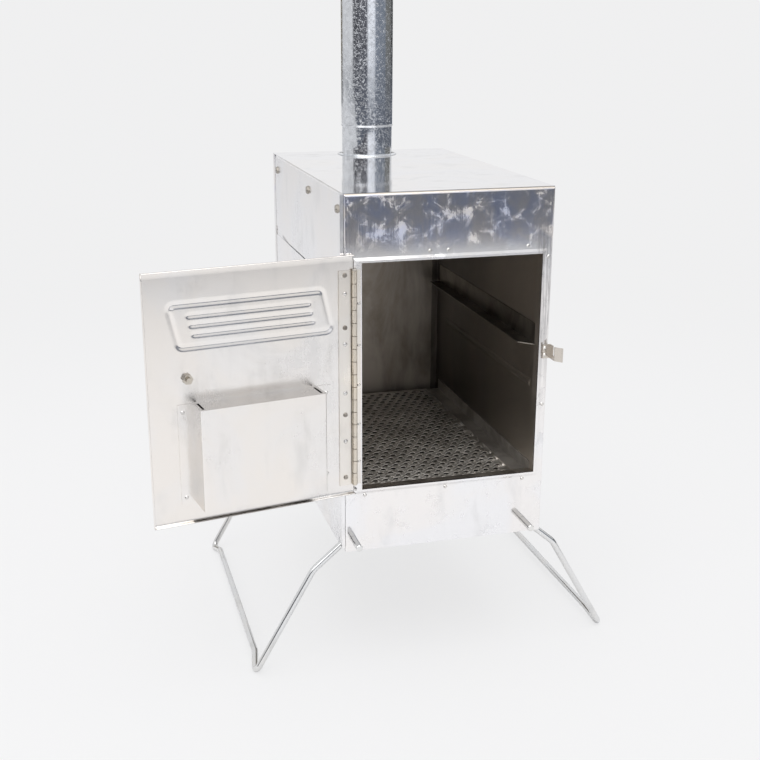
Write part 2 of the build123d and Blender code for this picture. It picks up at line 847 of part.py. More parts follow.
with BuildPart() as hinge_pin:
    with BuildSketch(Plane(origin=(hinge_x, hinge_y, base_z + hinge_bottom - pin_head))):
        Circle(hinge_pin_radius + pin_head)
    extrude(amount=pin_head)
    with BuildSketch(Plane(origin=(hinge_x, hinge_y, base_z + hinge_bottom))):
        Circle(hinge_pin_radius)
    extrude(amount=hinge_length)
    with BuildSketch(Plane(origin=(hinge_x, hinge_y, base_z + hinge_bottom + hinge_length))):
        Circle(hinge_pin_radius + pin_head)
    extrude(amount=pin_head)
hinge_pin.part.label = "hinge_pin"
export_step(hinge_pin.part, "parts/hinge_pin.step")

hinge_rivet = rivet(leaf_rivet_head)
hinge_fixed_rivets = set_of(hinge_rivet, places(front.offset(border_raise + hinge_leaf), fixed_points))
hinge_fixed_rivets.part.label = "hinge_fixed_rivets"
export_step(hinge_fixed_rivets.part, "parts/hinge_fixed_rivets.step")

leaf_inner = skin_inner - hinge_leaf
hinge_door_rivets = set_of(hinge_rivet, inside_places(leaf_rivet_points, leaf_inner))
hinge_door_rivets.part.label = "hinge_door_rivets"
export_step(hinge_door_rivets.part, "parts/hinge_door_rivets.step")

hinge_screw = screw(leaf_screw_head, leaf_screw_head_height)
hinge_door_screws = set_of(hinge_screw, inside_places(leaf_screw_points, leaf_inner))
hinge_door_screws.part.label = "hinge_door_screws"
export_step(hinge_door_screws.part, "parts/hinge_door_screws.step")

# Shared points of the door: the baffle's flange rivets, the air holes, the slide's rails and its stops
baffle_rows = [baffle_bottom + baffle_rivet_end, baffle_top - baffle_rivet_end]
baffle_lines = [
    baffle_left - baffle_flange + baffle_rivet_inset,
    baffle_right + baffle_flange - baffle_rivet_inset,
]
baffle_points = [(line, row) for line in baffle_lines for row in baffle_rows]
air_middle = (baffle_left + baffle_right) / 2
air_points = [
    (air_middle + air_hole_pitch * (number - (air_hole_count - 1) / 2), air_hole_height)
    for number in range(air_hole_count)
]
slide_half = air_hole_pitch * (air_hole_count - 1) / 2 + air_hole_radius + slide_end
rail_inner = slide_height / 2 + slide_play
rail_start = air_middle - slide_half - slide_travel
rail_end = air_middle + slide_half
foot_middle = rail_inner + rail_sheet + rail_foot / 2
rail_points = [
    (along, air_hole_height + side * foot_middle)
    for along in (rail_start + rail_foot, rail_end - rail_foot)
    for side in (-1, 1)
]
stop_gap = rivet_head + slide_play
stop_points = [(rail_start - stop_gap, air_hole_height), (rail_end + stop_gap, air_hole_height)]

# Fire door: a shallow pan open towards the hinge, with a pressed frame and ribs to stiffen its skin
pressing_middle = ((pressing_left + pressing_right) / 2, (pressing_bottom + pressing_top) / 2)
pressing_length = pressing_right - pressing_left
pressing_height = pressing_top - pressing_bottom
rib_pitch = (pressing_height - 2 * pressing_width) / (pressing_rib_count + 1)
with BuildPart() as door_pan:
    with BuildSketch(door.offset(skin_outer)):
        window(0, door_width, door_bottom, door_top)
    extrude(amount=-door_flange)
    skin = door_pan.faces().sort_by(Axis(door.origin, door.z_dir))[-1]
    fillet(skin.edges().sort_by(Axis(door.origin, door.x_dir))[1:], fold_radius)
    open_back = door_pan.faces().sort_by(Axis(door.origin, door.z_dir))[0]
    open_side = door_pan.faces().sort_by(Axis(door.origin, door.x_dir))[0]
    offset(amount=-sheet, openings=[open_back, open_side])
    for level, mode in ((skin_outer, Mode.ADD), (skin_inner, Mode.SUBTRACT)):
        with BuildSketch(door.offset(level)):
            with Locations(pressing_middle):
                RectangleRounded(pressing_length, pressing_height, pressing_radius)
                RectangleRounded(
                    pressing_length - 2 * pressing_width,
                    pressing_height - 2 * pressing_width,
                    pressing_radius - pressing_width,
                    mode=Mode.SUBTRACT,
                )
                with GridLocations(0, rib_pitch, 1, pressing_rib_count):
                    Rectangle(pressing_length - 6 * pressing_width, pressing_width)
        extrude(amount=pressing_depth, taper=pressing_taper, mode=mode)
    with Locations(*places(door.offset(skin_outer), air_points)):
        Hole(air_hole_radius, depth=sheet)
    with Locations(*places(door.offset(skin_outer), [(latch_along, latch_height)])):
        Hole(bolt_radius + hole_play, depth=sheet)
door_pan.part.label = "door_pan"
export_step(door_pan.part, "parts/door_pan.step")

# Air baffle: a box open below, with a riveted flange down each side and a slot at each end of its top
with BuildPart() as air_baffle:
    with BuildSketch(door.offset(skin_inner)):
        window(baffle_left, baffle_right, baffle_bottom, baffle_top)
    extrude(amount=-baffle_depth)
    box_front = air_baffle.faces().sort_by(Axis(door.origin, door.z_dir))[0]
    fillet(box_front.edges().filter_by(Axis.Z), fold_radius)
    box_back = air_baffle.faces().sort_by(Axis(door.origin, door.z_dir))[-1]
    box_bottom = air_baffle.faces().sort_by(Axis.Z)[0]
    offset(amount=-sheet, openings=[box_back, box_bottom])
    with BuildSketch(door.offset(skin_inner)):
        window(baffle_left - baffle_flange, baffle_left + sheet, baffle_bottom, baffle_top)
        window(baffle_right - sheet, baffle_right + baffle_flange, baffle_bottom, baffle_top)
    extrude(amount=-sheet)
    slot_start = baffle_left + sheet + baffle_slot_inset
    slot_end = baffle_right - sheet - baffle_slot_inset
    with BuildSketch(door.offset(skin_inner - baffle_slot_gap)):
        window(slot_start, slot_start + baffle_slot_width, baffle_top - sheet, baffle_top)
        window(slot_end - baffle_slot_width, slot_end, baffle_top - sheet, baffle_top)
    extrude(amount=-baffle_slot_length, mode=Mode.SUBTRACT)
air_baffle.part.label = "air_baffle"
export_step(air_baffle.part, "parts/air_baffle.step")

baffle_rivets = set_of(rivet(), inside_places(baffle_points, skin_inner - sheet))
baffle_rivets.part.label = "baffle_rivets"
export_step(baffle_rivets.part, "parts/baffle_rivets.step")

# Rails of the air slide: two folded strips with a foot on the skin and a lip over the slide
slide_level = skin_outer + slide_play
lip_level = slide_level + slide_sheet + slide_play
with BuildPart() as damper_rails:
    for side in (-1, 1):
        riser = sorted((side * rail_inner, side * (rail_inner + rail_sheet)))
        foot = sorted((side * rail_inner, side * (rail_inner + rail_sheet + rail_foot)))
        lip_span = sorted((side * (rail_inner - rail_lip), side * (rail_inner + rail_sheet)))
        with BuildSketch(door.offset(skin_outer)):
            window(rail_start, rail_end, air_hole_height + foot[0], air_hole_height + foot[1])
        extrude(amount=rail_sheet)
        with BuildSketch(door.offset(skin_outer)):
            window(rail_start, rail_end, air_hole_height + riser[0], air_hole_height + riser[1])
        extrude(amount=lip_level + rail_sheet - skin_outer)
        with BuildSketch(door.offset(lip_level)):
            window(rail_start, rail_end, air_hole_height + lip_span[0], air_hole_height + lip_span[1])
        extrude(amount=rail_sheet)
damper_rails.part.label = "damper_rails"
export_step(damper_rails.part, "parts/damper_rails.step")

# Rivets of the rails, and one at each end of the slide's travel
rivet_places = places(door.offset(skin_outer + rail_sheet), rail_points)
rivet_places += places(door.offset(skin_outer), stop_points)
damper_rivets = set_of(rivet(), rivet_places)
damper_rivets.part.label = "damper_rivets"
export_step(damper_rivets.part, "parts/damper_rivets.step")

# Air slide, open: its holes line up with the door's
knob_point = (air_middle + slide_half - slide_end / 2, air_hole_height)
with BuildPart() as air_slide:
    with BuildSketch(door.offset(slide_level)):
        window(
            air_middle - slide_half,
            air_middle + slide_half,
            air_hole_height - slide_height / 2,
            air_hole_height + slide_height / 2,
        )
        with Locations(*air_points):
            Circle(air_hole_radius, mode=Mode.SUBTRACT)
    extrude(amount=slide_sheet)
air_slide.part.label = "air_slide"
export_step(air_slide.part, "parts/air_slide.step")

with BuildPart() as slide_knob:
    with BuildSketch(door.offset(slide_level + slide_sheet)):
        with Locations(knob_point):
            RegularPolygon(knob_radius, knob_side_count, major_radius=False)
    extrude(amount=knob_height, taper=knob_taper)
slide_knob.part.label = "slide_knob"
export_step(slide_knob.part, "parts/slide_knob.step")

# Latch: bolt through the skin, washer, nut inside, and a lever that hangs free while the door is open
washer_level = skin_outer + washer_thickness
lever_level = washer_level + seat_play
head_level = lever_level + latch_bar + seat_play
latch_point = (latch_along, latch_height)
with BuildPart() as latch_washer:
    with BuildSketch(door.offset(skin_outer)):
        with Locations(latch_point):
            RegularPolygon(washer_radius, washer_side_count)
            Circle(bolt_radius + hole_play, mode=Mode.SUBTRACT)
    extrude(amount=washer_thickness)
latch_washer.part.label = "latch_washer"
export_step(latch_washer.part, "parts/latch_washer.step")

with BuildPart() as latch_bolt:
    with BuildSketch(door.offset(head_level)):
        with Locations(latch_point):
            RegularPolygon(bolt_head_flats / 2, 6, major_radius=False)
    extrude(amount=bolt_head_height)
    with BuildSketch(door.offset(head_level)):
        with Locations(latch_point):
            Circle(bolt_radius)
    extrude(amount=skin_inner - nut_height - bolt_end - head_level)
latch_bolt.part.label = "latch_bolt"
export_step(latch_bolt.part, "parts/latch_bolt.step")

with BuildPart() as latch_nut:
    with BuildSketch(door.offset(skin_inner)):
        with Locations(latch_point):
            RegularPolygon(nut_flats / 2, 6, major_radius=False)
            Circle(bolt_radius + hole_play, mode=Mode.SUBTRACT)
    extrude(amount=-nut_height)
latch_nut.part.label = "latch_nut"
export_step(latch_nut.part, "parts/latch_nut.step")

hang = radians(latch_hang_angle)
lever = Plane(
    origin=door.from_local_coords((latch_along, latch_height, lever_level)),
    x_dir=door.x_dir * cos(hang) + door.y_dir * sin(hang),
    z_dir=door.z_dir,
)
nose_radius = latch_width / 2
grip_start = latch_eye_radius + nose_radius
with BuildPart() as latch_lever:
    with BuildSketch(lever):
        Circle(latch_eye_radius)
        window(0, latch_length - nose_radius, -nose_radius, nose_radius)
        with Locations((latch_length - nose_radius, 0)):
            Circle(nose_radius)
        Circle(bolt_radius + pin_play, mode=Mode.SUBTRACT)
    extrude(amount=latch_bar)
    with BuildSketch(lever):
        window(grip_start, grip_start + grip_length, nose_radius - latch_bar, nose_radius)
    extrude(amount=latch_bar + grip_depth)
    grip_end = latch_lever.faces().sort_by(Axis(lever.origin, lever.z_dir))[-1]
    chamfer(grip_end.edges().filter_by(Axis(lever.origin, lever.y_dir)), grip_depth / 3)
latch_lever.part.label = "latch_lever"
export_step(latch_lever.part, "parts/latch_lever.step")

# Catch: a folded bracket with a slot open at the top, where the lever's nose drops in
slot_middle = hinge_y - lever_level - latch_bar / 2
slot_half = latch_bar / 2 + catch_play
bend_y = slot_middle - slot_half - catch_sheet
tip_y = -half_depth - catch_reach
with BuildPart() as catch_bracket:
    with BuildSketch(front):
        window(catch_base, catch_outer, catch_bottom, catch_bottom + catch_height)
    extrude(amount=catch_sheet)
    with BuildSketch(Plane.XY.offset(base_z + catch_bottom)):
        with BuildLine():
            Polyline(
                (catch_inner, -half_depth),
                (catch_inner, bend_y),
                (catch_inner + catch_flare, tip_y),
                (catch_outer + catch_flare, tip_y),
                (catch_outer, bend_y),
                (catch_outer, -half_depth),
                close=True,
            )
        make_face()
    extrude(amount=catch_height)
    with BuildSketch(Plane.XY.offset(base_z + catch_bottom + catch_height)):
        window(
            catch_inner - catch_sheet,
            catch_outer + catch_sheet,
            slot_middle - slot_half,
            slot_middle + slot_half,
        )
    extrude(amount=-catch_slot_depth, mode=Mode.SUBTRACT)
catch_bracket.part.label = "catch_bracket"
export_step(catch_bracket.part, "parts/catch_bracket.step")

catch_rivets = set_of(rivet(), places(front.offset(catch_sheet), catch_points))
catch_rivets.part.label = "catch_rivets"
export_step(catch_rivets.part, "parts/catch_rivets.step")

# Folding legs, hung from the holes in the front and back panels
with BuildPart() as leg_left:
    with Locations((0, 0, pivot_z)):
        add(left_wire)
leg_left.part.label = "leg_left"
export_step(leg_left.part, "parts/leg_left.step")
with BuildPart() as leg_right:
    with Locations((0, 0, pivot_z)):
        add(right_wire)
leg_right.part.label = "leg_right"
export_step(leg_right.part, "parts/leg_right.step")
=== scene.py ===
# %% [markdown]
# A tent wood stove of thin stainless sheet, seen from its fire door, which stands wide open.
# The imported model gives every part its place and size. This file gives the parts their looks:
# new surfaces where a part is round, pressed or pierced, and a procedural material on every part.

import json
import math

import bmesh
import bpy
import numpy as np
from mathutils import Matrix, Vector


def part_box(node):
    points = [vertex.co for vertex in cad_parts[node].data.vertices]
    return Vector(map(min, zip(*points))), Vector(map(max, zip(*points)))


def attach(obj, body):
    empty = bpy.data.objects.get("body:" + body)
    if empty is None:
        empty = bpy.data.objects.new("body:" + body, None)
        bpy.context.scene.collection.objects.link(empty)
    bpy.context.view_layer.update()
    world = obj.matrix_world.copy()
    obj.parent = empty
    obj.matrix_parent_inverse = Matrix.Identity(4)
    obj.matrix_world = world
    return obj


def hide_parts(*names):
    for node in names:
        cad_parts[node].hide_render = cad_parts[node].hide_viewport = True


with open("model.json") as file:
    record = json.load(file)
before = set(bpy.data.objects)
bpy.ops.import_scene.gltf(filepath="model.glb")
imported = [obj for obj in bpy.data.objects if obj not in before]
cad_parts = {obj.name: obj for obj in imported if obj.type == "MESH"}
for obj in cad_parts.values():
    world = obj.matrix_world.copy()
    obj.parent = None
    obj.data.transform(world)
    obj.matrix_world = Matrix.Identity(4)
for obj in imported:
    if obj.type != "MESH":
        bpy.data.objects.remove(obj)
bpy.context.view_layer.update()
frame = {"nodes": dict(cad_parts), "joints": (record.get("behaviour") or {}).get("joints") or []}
nodes = frame["nodes"]

# %% [markdown]
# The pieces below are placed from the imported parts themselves, so a change of size moves them too.
# The casing's middle is at X 0 and Y 0, its lower edge at CASE_LOW and its top plate at CASE_TOP.

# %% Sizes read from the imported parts
CASE_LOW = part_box("front_panel")[0].z
CASE_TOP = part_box("top_plate")[1].z
CASE_HALF_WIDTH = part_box("top_plate")[1].x
CASE_HALF_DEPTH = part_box("back_panel")[1].y
SHEET = 0.0008  # thickness of the stove's sheet
print("casing from", round(CASE_LOW, 4), "to", round(CASE_TOP, 4), "m, half width", round(CASE_HALF_WIDTH, 4))

# %% [markdown]
# The door's own directions: along the door away from its hinge, up, and outwards through its skin.
# The air slide runs along the door towards the hinge, so its joint's axis gives the first of them, and the
# latch turns about the third.

# %% The door's frame of reference
joints = {joint["name"]: joint for joint in frame["joints"]}
pin_low, pin_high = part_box("hinge_pin")
HINGE = Vector(((pin_low.x + pin_high.x) / 2, (pin_low.y + pin_high.y) / 2, CASE_LOW))
ALONG = -Vector(joints["damper_slide"]["axis"]).normalized()
OUTWARD = Vector(joints["latch_turn"]["axis"]).normalized()


def on_door(along, up, outward):
    """Points in metres from the door's own coordinates: hinge foot plus each coordinate times its direction."""
    along, up, outward = np.broadcast_arrays(along, up, outward)
    point = np.stack([np.full(along.shape, HINGE[i]) for i in range(3)], axis=-1)
    point = point + along[..., None] * np.array(ALONG) + outward[..., None] * np.array(OUTWARD)
    point[..., 2] += up
    return point


print("hinge at", [round(v, 4) for v in HINGE], "door runs along", [round(v, 3) for v in ALONG])

# %% [markdown]
# A material could be drawn by hand in the shader editor. Here it is written down, so that all the finishes can
# share a few patterns. The first helpers add a node and start a material.

# %% Nodes and new materials
def add_node(tree, kind, inputs=None, **settings):
    """Adds a node, sets its properties and sets or links its inputs."""
    node = tree.nodes.new(kind)
    for key, value in settings.items():
        setattr(node, key, value)
    for key, value in (inputs or {}).items():
        if isinstance(value, bpy.types.NodeSocket):
            tree.links.new(value, node.inputs[key])
        else:
            node.inputs[key].default_value = value
    return node


def new_material(name, metallic, roughness, colour):
    """Material with one Principled shader, its uniform values set on the sockets themselves."""
    material = bpy.data.materials.new(name)
    material.use_nodes = True
    tree = material.node_tree
    tree.nodes.clear()
    output = tree.nodes.new("ShaderNodeOutputMaterial")
    shader = tree.nodes.new("ShaderNodeBsdfPrincipled")
    shader.inputs["Metallic"].default_value = metallic
    shader.inputs["Roughness"].default_value = roughness
    shader.inputs["Base Color"].default_value = (*colour, 1)
    tree.links.new(shader.outputs["BSDF"], output.inputs["Surface"])
    return material, tree, shader


# %% [markdown]
# Patterns are noise read at the point's own place in metres. Noise stretched along one axis turns into streaks,
# which is how rolling grain and rub marks are drawn.

# %% Places and patterns
def place(tree):
    """Object coordinates, in metres from the object's origin."""
    return add_node(tree, "ShaderNodeTexCoord").outputs["Object"]


def split(tree, vector):
    """The three coordinates of a vector as separate numbers."""
    return add_node(tree, "ShaderNodeSeparateXYZ", {"Vector": vector}).outputs


def stretched(tree, vector, scale, shift=(0, 0, 0), turn=(0, 0, 0)):
    """Coordinates turned and scaled by a different amount along each axis, which draws a pattern into streaks."""
    node = add_node(tree, "ShaderNodeMapping", {"Vector": vector})
    node.inputs["Scale"].default_value = scale
    node.inputs["Location"].default_value = shift
    node.inputs["Rotation"].default_value = turn
    return node.outputs["Vector"]


def noise(tree, vector, scale, detail=3.0, roughness=0.5, distortion=0.0):
    """Noise between 0 and 1, with about one lump in every 1 / scale metres."""
    values = {"Vector": vector, "Scale": scale, "Detail": detail, "Roughness": roughness, "Distortion": distortion}
    return add_node(tree, "ShaderNodeTexNoise", values).outputs["Fac"]


# %% [markdown]
# A pattern is only a number from 0 to 1. These helpers turn it into a share, a colour or a small height.

# %% Numbers, colours and bumps
def remap(tree, value, low, high, to_low=0.0, to_high=1.0):
    """Smooth step from to_low at low to to_high at high."""
    inputs = {"Value": value, "From Min": low, "From Max": high, "To Min": to_low, "To Max": to_high}
    return add_node(tree, "ShaderNodeMapRange", inputs, interpolation_type="SMOOTHSTEP").outputs["Result"]


def combine(tree, operation, first, second):
    """Two numbers joined by one Math operation."""
    return add_node(tree, "ShaderNodeMath", {0: first, 1: second}, operation=operation).outputs[0]


def product(tree, first, *others):
    """Several numbers multiplied together."""
    for other in others:
        first = combine(tree, "MULTIPLY", first, other)
    return first


def blend_colour(tree, share, first, second):
    """Colour that goes from the first to the second as share goes from 0 to 1."""
    node = add_node(tree, "ShaderNodeMix", data_type="RGBA")
    for index, value in ((0, share), (6, first), (7, second)):
        if isinstance(value, bpy.types.NodeSocket):
            tree.links.new(value, node.inputs[index])
        else:
            node.inputs[index].default_value = value if index == 0 else (*value, 1)
    return node.outputs[2]


def times(colour, factors):
    """A colour with its three parts multiplied, by one factor or by three."""
    return tuple(float(part) for part in np.array(colour) * factors)


def bump(tree, height, distance, strength=1.0, under=None):
    """Bump from a height between 0 and 1, which stands for distance metres, over an earlier bump."""
    inputs = {"Height": height, "Distance": distance, "Strength": strength}
    if under is not None:
        inputs["Normal"] = under
    return add_node(tree, "ShaderNodeBump", inputs).outputs["Normal"]


# %% [markdown]
# Handled sheet is never a perfect mirror. It waves slowly, carries cloudy smudges and fine rolling grain, and
# where it is polished it is rubbed in streaks that cross each other. All of these change how rough the surface
# is rather than its colour, so they only show where something is reflected, as on the real metal.

# %% Wear of handled sheet
WAVES, RIPPLES, FINE = 4.0, 24.0, 420.0  # lumps per metre of three sizes of unevenness
FINE_HEIGHT = 0.000012
GRAIN = (900.0, 900.0, 9.0)
RUBS = [  # stretch, shift, slant in degrees, and the noise at which a rub mark starts and is full
    ((70.0, 70.0, 13.0), (0, 0, 0), 50, 0.50, 0.82),
    ((90.0, 90.0, 20.0), (3, 1, 2), -25, 0.52, 0.84),
]


def rub_marks(tree, where, strength):
    """Share of rubbed metal: the stronger of two sets of slanted streaks, in patches, times a strength."""
    marks = []
    for scale, shift, slant, start, full in RUBS:
        streaks = stretched(tree, where, scale, shift, (0, math.radians(slant), 0))
        marks.append(remap(tree, noise(tree, streaks, 1.0, 9.0, 0.78, 0.5), start, full))
    patches = remap(tree, noise(tree, where, 26.0, 6.0, 0.6), 0.38, 0.66)
    return product(tree, combine(tree, "MAXIMUM", *marks), patches, strength)


def wear(tree, shader, sheet_wave, smudge_share, polished, dull, lump, rubbed):
    """Roughness between polished and dull from smudges, rub marks and grain, and a bump of slow and fine waves."""
    where = place(tree)
    normal = bump(tree, noise(tree, where, WAVES, 1.0), sheet_wave)
    normal = bump(tree, noise(tree, where, RIPPLES, 2.0), sheet_wave / 12, under=normal)
    cloud = noise(tree, where, lump, 9.0, 0.68, 0.5)
    dullness = remap(tree, cloud, 0.66 - smudge_share, 1.02 - smudge_share)
    if rubbed > 0:
        dullness = combine(tree, "MAXIMUM", dullness, rub_marks(tree, where, rubbed))
    grain = noise(tree, stretched(tree, where, GRAIN), 1.0, 3.0, 0.6)
    dullness = combine(tree, "ADD", dullness, remap(tree, grain, 0.35, 0.65, -0.08, 0.08))
    fine = noise(tree, where, FINE, 3.0, 0.7)
    normal = bump(tree, combine(tree, "MULTIPLY", fine, dullness), FINE_HEIGHT, under=normal)
    tree.links.new(remap(tree, dullness, 0.0, 1.0, polished, dull), shader.inputs["Roughness"])
    tree.links.new(normal, shader.inputs["Normal"])


# %% [markdown]
# Bright stainless isn't one grey. Handling leaves it a little warmer here and cooler there, and it has soft
# darker stains. The front panel has more: dark rubbed streaks down its right border, and above the door the
# blue and straw tints that heat leaves.

# %% Colour of the bright side
WARM, COOL, STAINED = (0.98, 0.962, 0.945), (0.965, 0.968, 0.98), 0.80  # factors on the sheet's colour
BORDER_GREY, BLUE_TINT, STRAW_TINT = (0.42, 0.41, 0.41), (0.64, 0.665, 0.78), (0.80, 0.755, 0.72)


def bright_side(tree, where, colour):
    """Warm and cool clouds in the sheet's colour, with soft stains drawn out a little upwards."""
    tone = remap(tree, noise(tree, where, 9.0, 6.0, 0.6, 0.8), 0.38, 0.62)
    bright = blend_colour(tree, tone, times(colour, WARM), times(colour, COOL))
    tall = stretched(tree, where, (38.0, 38.0, 15.0))
    stain = remap(tree, noise(tree, tall, 1.0, 4.0, 0.55, 0.3), 0.52, 0.74)
    return blend_colour(tree, combine(tree, "MULTIPLY", stain, 0.55), bright, times(colour, STAINED))


def heat_marks(tree, where, bright):
    """Streaks on the right border from 140 mm up, and tints over the top 75 mm."""
    x, _, z = split(tree, where)
    drawn = noise(tree, stretched(tree, where, (260.0, 40.0, 14.0)), 1.0, 5.0, 0.65, 0.4)
    border = product(tree, remap(tree, x, 0.100, 0.112), remap(tree, z, CASE_LOW + 0.14, CASE_LOW + 0.30),
                     remap(tree, drawn, 0.36, 0.56), 0.85)
    bright = blend_colour(tree, border, bright, BORDER_GREY)
    tint = remap(tree, noise(tree, where, 27.0, 7.0, 0.62, 0.6), 0.36, 0.64)
    upper = remap(tree, z, CASE_TOP - 0.075, CASE_TOP - 0.045)
    return blend_colour(tree, upper, bright, blend_colour(tree, tint, BLUE_TINT, STRAW_TINT))


# %% [markdown]
# Inside, the fire has left the casing dark brown and dull. Towards the door its colour is painted lighter: painted
# light, as if falling in through the open door. One imported part holds both faces of a sheet, so two materials on it
# would need its faces sorted.
# Instead the material asks where a point is: anything deeper than the sheet's outer face is fire side.

# %% Colour of the fire side
# The third colour is painted light: the soot's colour near the open door, as if lit through the doorway.
SOOT_DARK, SOOT_LIGHT, SOOT_PAINTED_DOOR_LIGHT = (0.22, 0.195, 0.165), (0.46, 0.415, 0.37), (0.70, 0.64, 0.57)
SIDE_DEPTH, FACE_DEPTH, BLEND = 1.5 * SHEET, 0.6 * SHEET, 0.0001


def deep_inside(tree, where):
    """1 where a point lies behind the outer faces of all the panels, else 0."""
    x, y, z = split(tree, where)
    shares = []
    for distance, limit in ((combine(tree, "ABSOLUTE", x, 0.0), CASE_HALF_WIDTH - SIDE_DEPTH),
                            (combine(tree, "ABSOLUTE", y, 0.0), CASE_HALF_DEPTH - FACE_DEPTH),
                            (z, CASE_TOP - FACE_DEPTH)):
        shares.append(remap(tree, distance, limit, limit + BLEND, 1, 0))
    return product(tree, *shares)


def fire_side(tree, shader, where, bright, soot):
    """Mixes sooty colour and roughness into the sheet wherever a point is deep inside."""
    inside = deep_inside(tree, where)
    streak = noise(tree, stretched(tree, where, (1, 1, 0.35)), 17.0, 6.0, 0.6, 0.8)
    sooty = blend_colour(tree, remap(tree, streak, 0.3, 0.7), times(SOOT_DARK, soot), times(SOOT_LIGHT, soot))
    # Painted light: the soot turns lighter towards the door, where light falls in through the opening.
    near_door = remap(tree, split(tree, where)[1], -CASE_HALF_DEPTH, 0.10, 1.0, 0.0)
    sooty = blend_colour(tree, near_door, sooty, SOOT_PAINTED_DOOR_LIGHT)
    outer = shader.inputs["Roughness"].links[0].from_socket
    fired = remap(tree, streak, 0.3, 0.7, 0.30, 0.48)
    mixed = add_node(tree, "ShaderNodeMix", {0: inside, 2: outer, 3: fired}, data_type="FLOAT")
    tree.links.new(mixed.outputs[0], shader.inputs["Roughness"])
    return blend_colour(tree, inside, bright, sooty)


# %% [markdown]
# One recipe now serves all the bright sheet. The front is the most polished and the most handled, the top
# plate is nearly a mirror, the sides and the heat shields are duller, and the door is a little warmer.

# %% Stainless sheet
def stainless(name, colour, polished, dull, smudge_share, soot=None, wave=0.0012, lump=9.0, rubbed=0.0, marks=None):
    """Bright sheet; soot scales the fire side's colour where there is one, marks(tree, place, colour) adds stains."""
    material, tree, shader = new_material(name, 1.0, polished, colour)
    wear(tree, shader, wave, smudge_share, polished, dull, lump, rubbed)
    where = place(tree)
    finish = bright_side(tree, where, colour)
    if marks is not None:
        finish = marks(tree, where, finish)
    if soot is not None:
        finish = fire_side(tree, shader, where, finish, soot)
    tree.links.new(finish, shader.inputs["Base Color"])
    return material


BRIGHT = (0.815, 0.81, 0.81)
case_steel = stainless("case_steel", BRIGHT, 0.11, 0.60, 0.22, 1.0, wave=0.0004, lump=44.0, rubbed=0.80,
                       marks=heat_marks)
top_steel = stainless("top_steel", BRIGHT, 0.07, 0.22, 0.15, 0.55, wave=0.0008)
side_steel = stainless("side_steel", BRIGHT, 0.16, 0.34, 0.25, 0.45)
shield_steel = stainless("shield_steel", BRIGHT, 0.20, 0.34, 0.25)
door_steel = stainless("door_steel", (0.775, 0.755, 0.73), 0.17, 0.34, 0.25, wave=0.0007)
print("made", [steel.name for steel in (case_steel, top_steel, side_steel, shield_steel, door_steel)])

# %% [markdown]
# The small parts are the same sheet and rod, each in its own tone: the rolled knuckles and the nut have gone
# brownish, the rivets are greyer, and the leg rod is the smoothest.

# %% Small parts
hinge_steel = stainless("hinge_steel", (0.80, 0.765, 0.71), 0.20, 0.36, 0.4)
bracket_steel = stainless("bracket_steel", (0.76, 0.75, 0.73), 0.18, 0.36, 0.4)
rivet_steel = stainless("rivet_steel", (0.66, 0.65, 0.63), 0.12, 0.26, 0.4)
knuckle_steel = stainless("knuckle_steel", (0.64, 0.585, 0.50), 0.14, 0.28, 0.4)
nut_steel = stainless("nut_steel", (0.55, 0.51, 0.45), 0.12, 0.26, 0.4)
leg_rod = stainless("leg_rod", (0.715, 0.72, 0.715), 0.11, 0.20, 0.2)
catch_steel = stainless("catch_steel", (0.56, 0.53, 0.49), 0.14, 0.32, 0.4)
print("made seven finishes, from", hinge_steel.name, "to", catch_steel.name)

# %% [markdown]
# Parts inside the firebox are fire-darkened all over, so they need no question about where a point is. The
# grate and its rests are lighter, where they are rubbed. The screws are dark too.

# %% Fire-darkened materials
def fired_steel(name, dark, light, rough_low, rough_high, metallic=1.0):
    """Fire-darkened sheet: brown-grey, streaked, neither bright nor quite dull."""
    material, tree, shader = new_material(name, metallic, rough_high, light)
    where = place(tree)
    streak = noise(tree, where, 22.0, 6.0, 0.65, 0.6)
    share = remap(tree, streak, 0.32, 0.68)
    tree.links.new(blend_colour(tree, share, dark, light), shader.inputs["Base Color"])
    tree.links.new(remap(tree, streak, 0.3, 0.7, rough_low, rough_high), shader.inputs["Roughness"])
    tree.links.new(bump(tree, noise(tree, where, 160.0, 3.0), 0.00006), shader.inputs["Normal"])
    return material


inner_steel = fired_steel("inner_steel", (0.20, 0.18, 0.155), (0.42, 0.39, 0.35), 0.28, 0.46)
rest_steel = fired_steel("rest_steel", (0.36, 0.335, 0.305), (0.62, 0.59, 0.55), 0.30, 0.46, metallic=0.7)
grate_steel = fired_steel("grate_steel", (0.58, 0.545, 0.50), (0.88, 0.84, 0.785), 0.30, 0.44, metallic=0.7)
dark_screw = fired_steel("dark_screw", (0.16, 0.145, 0.125), (0.42, 0.39, 0.35), 0.25, 0.42)
print("made", [steel.name for steel in (inner_steel, rest_steel, grate_steel, dark_screw)])

# %% [markdown]
# The flue is bright spangled steel: cells of crystal a few millimetres wide, each reflecting a little
# differently. Voronoi cells give each crystal its own tone and its own small tilt. The place is shifted by
# noise before the cells are drawn, so that their edges aren't straight.

# %% Flue material
CELLS, WARP_SCALE, WARP = 210.0, 130.0, 0.004


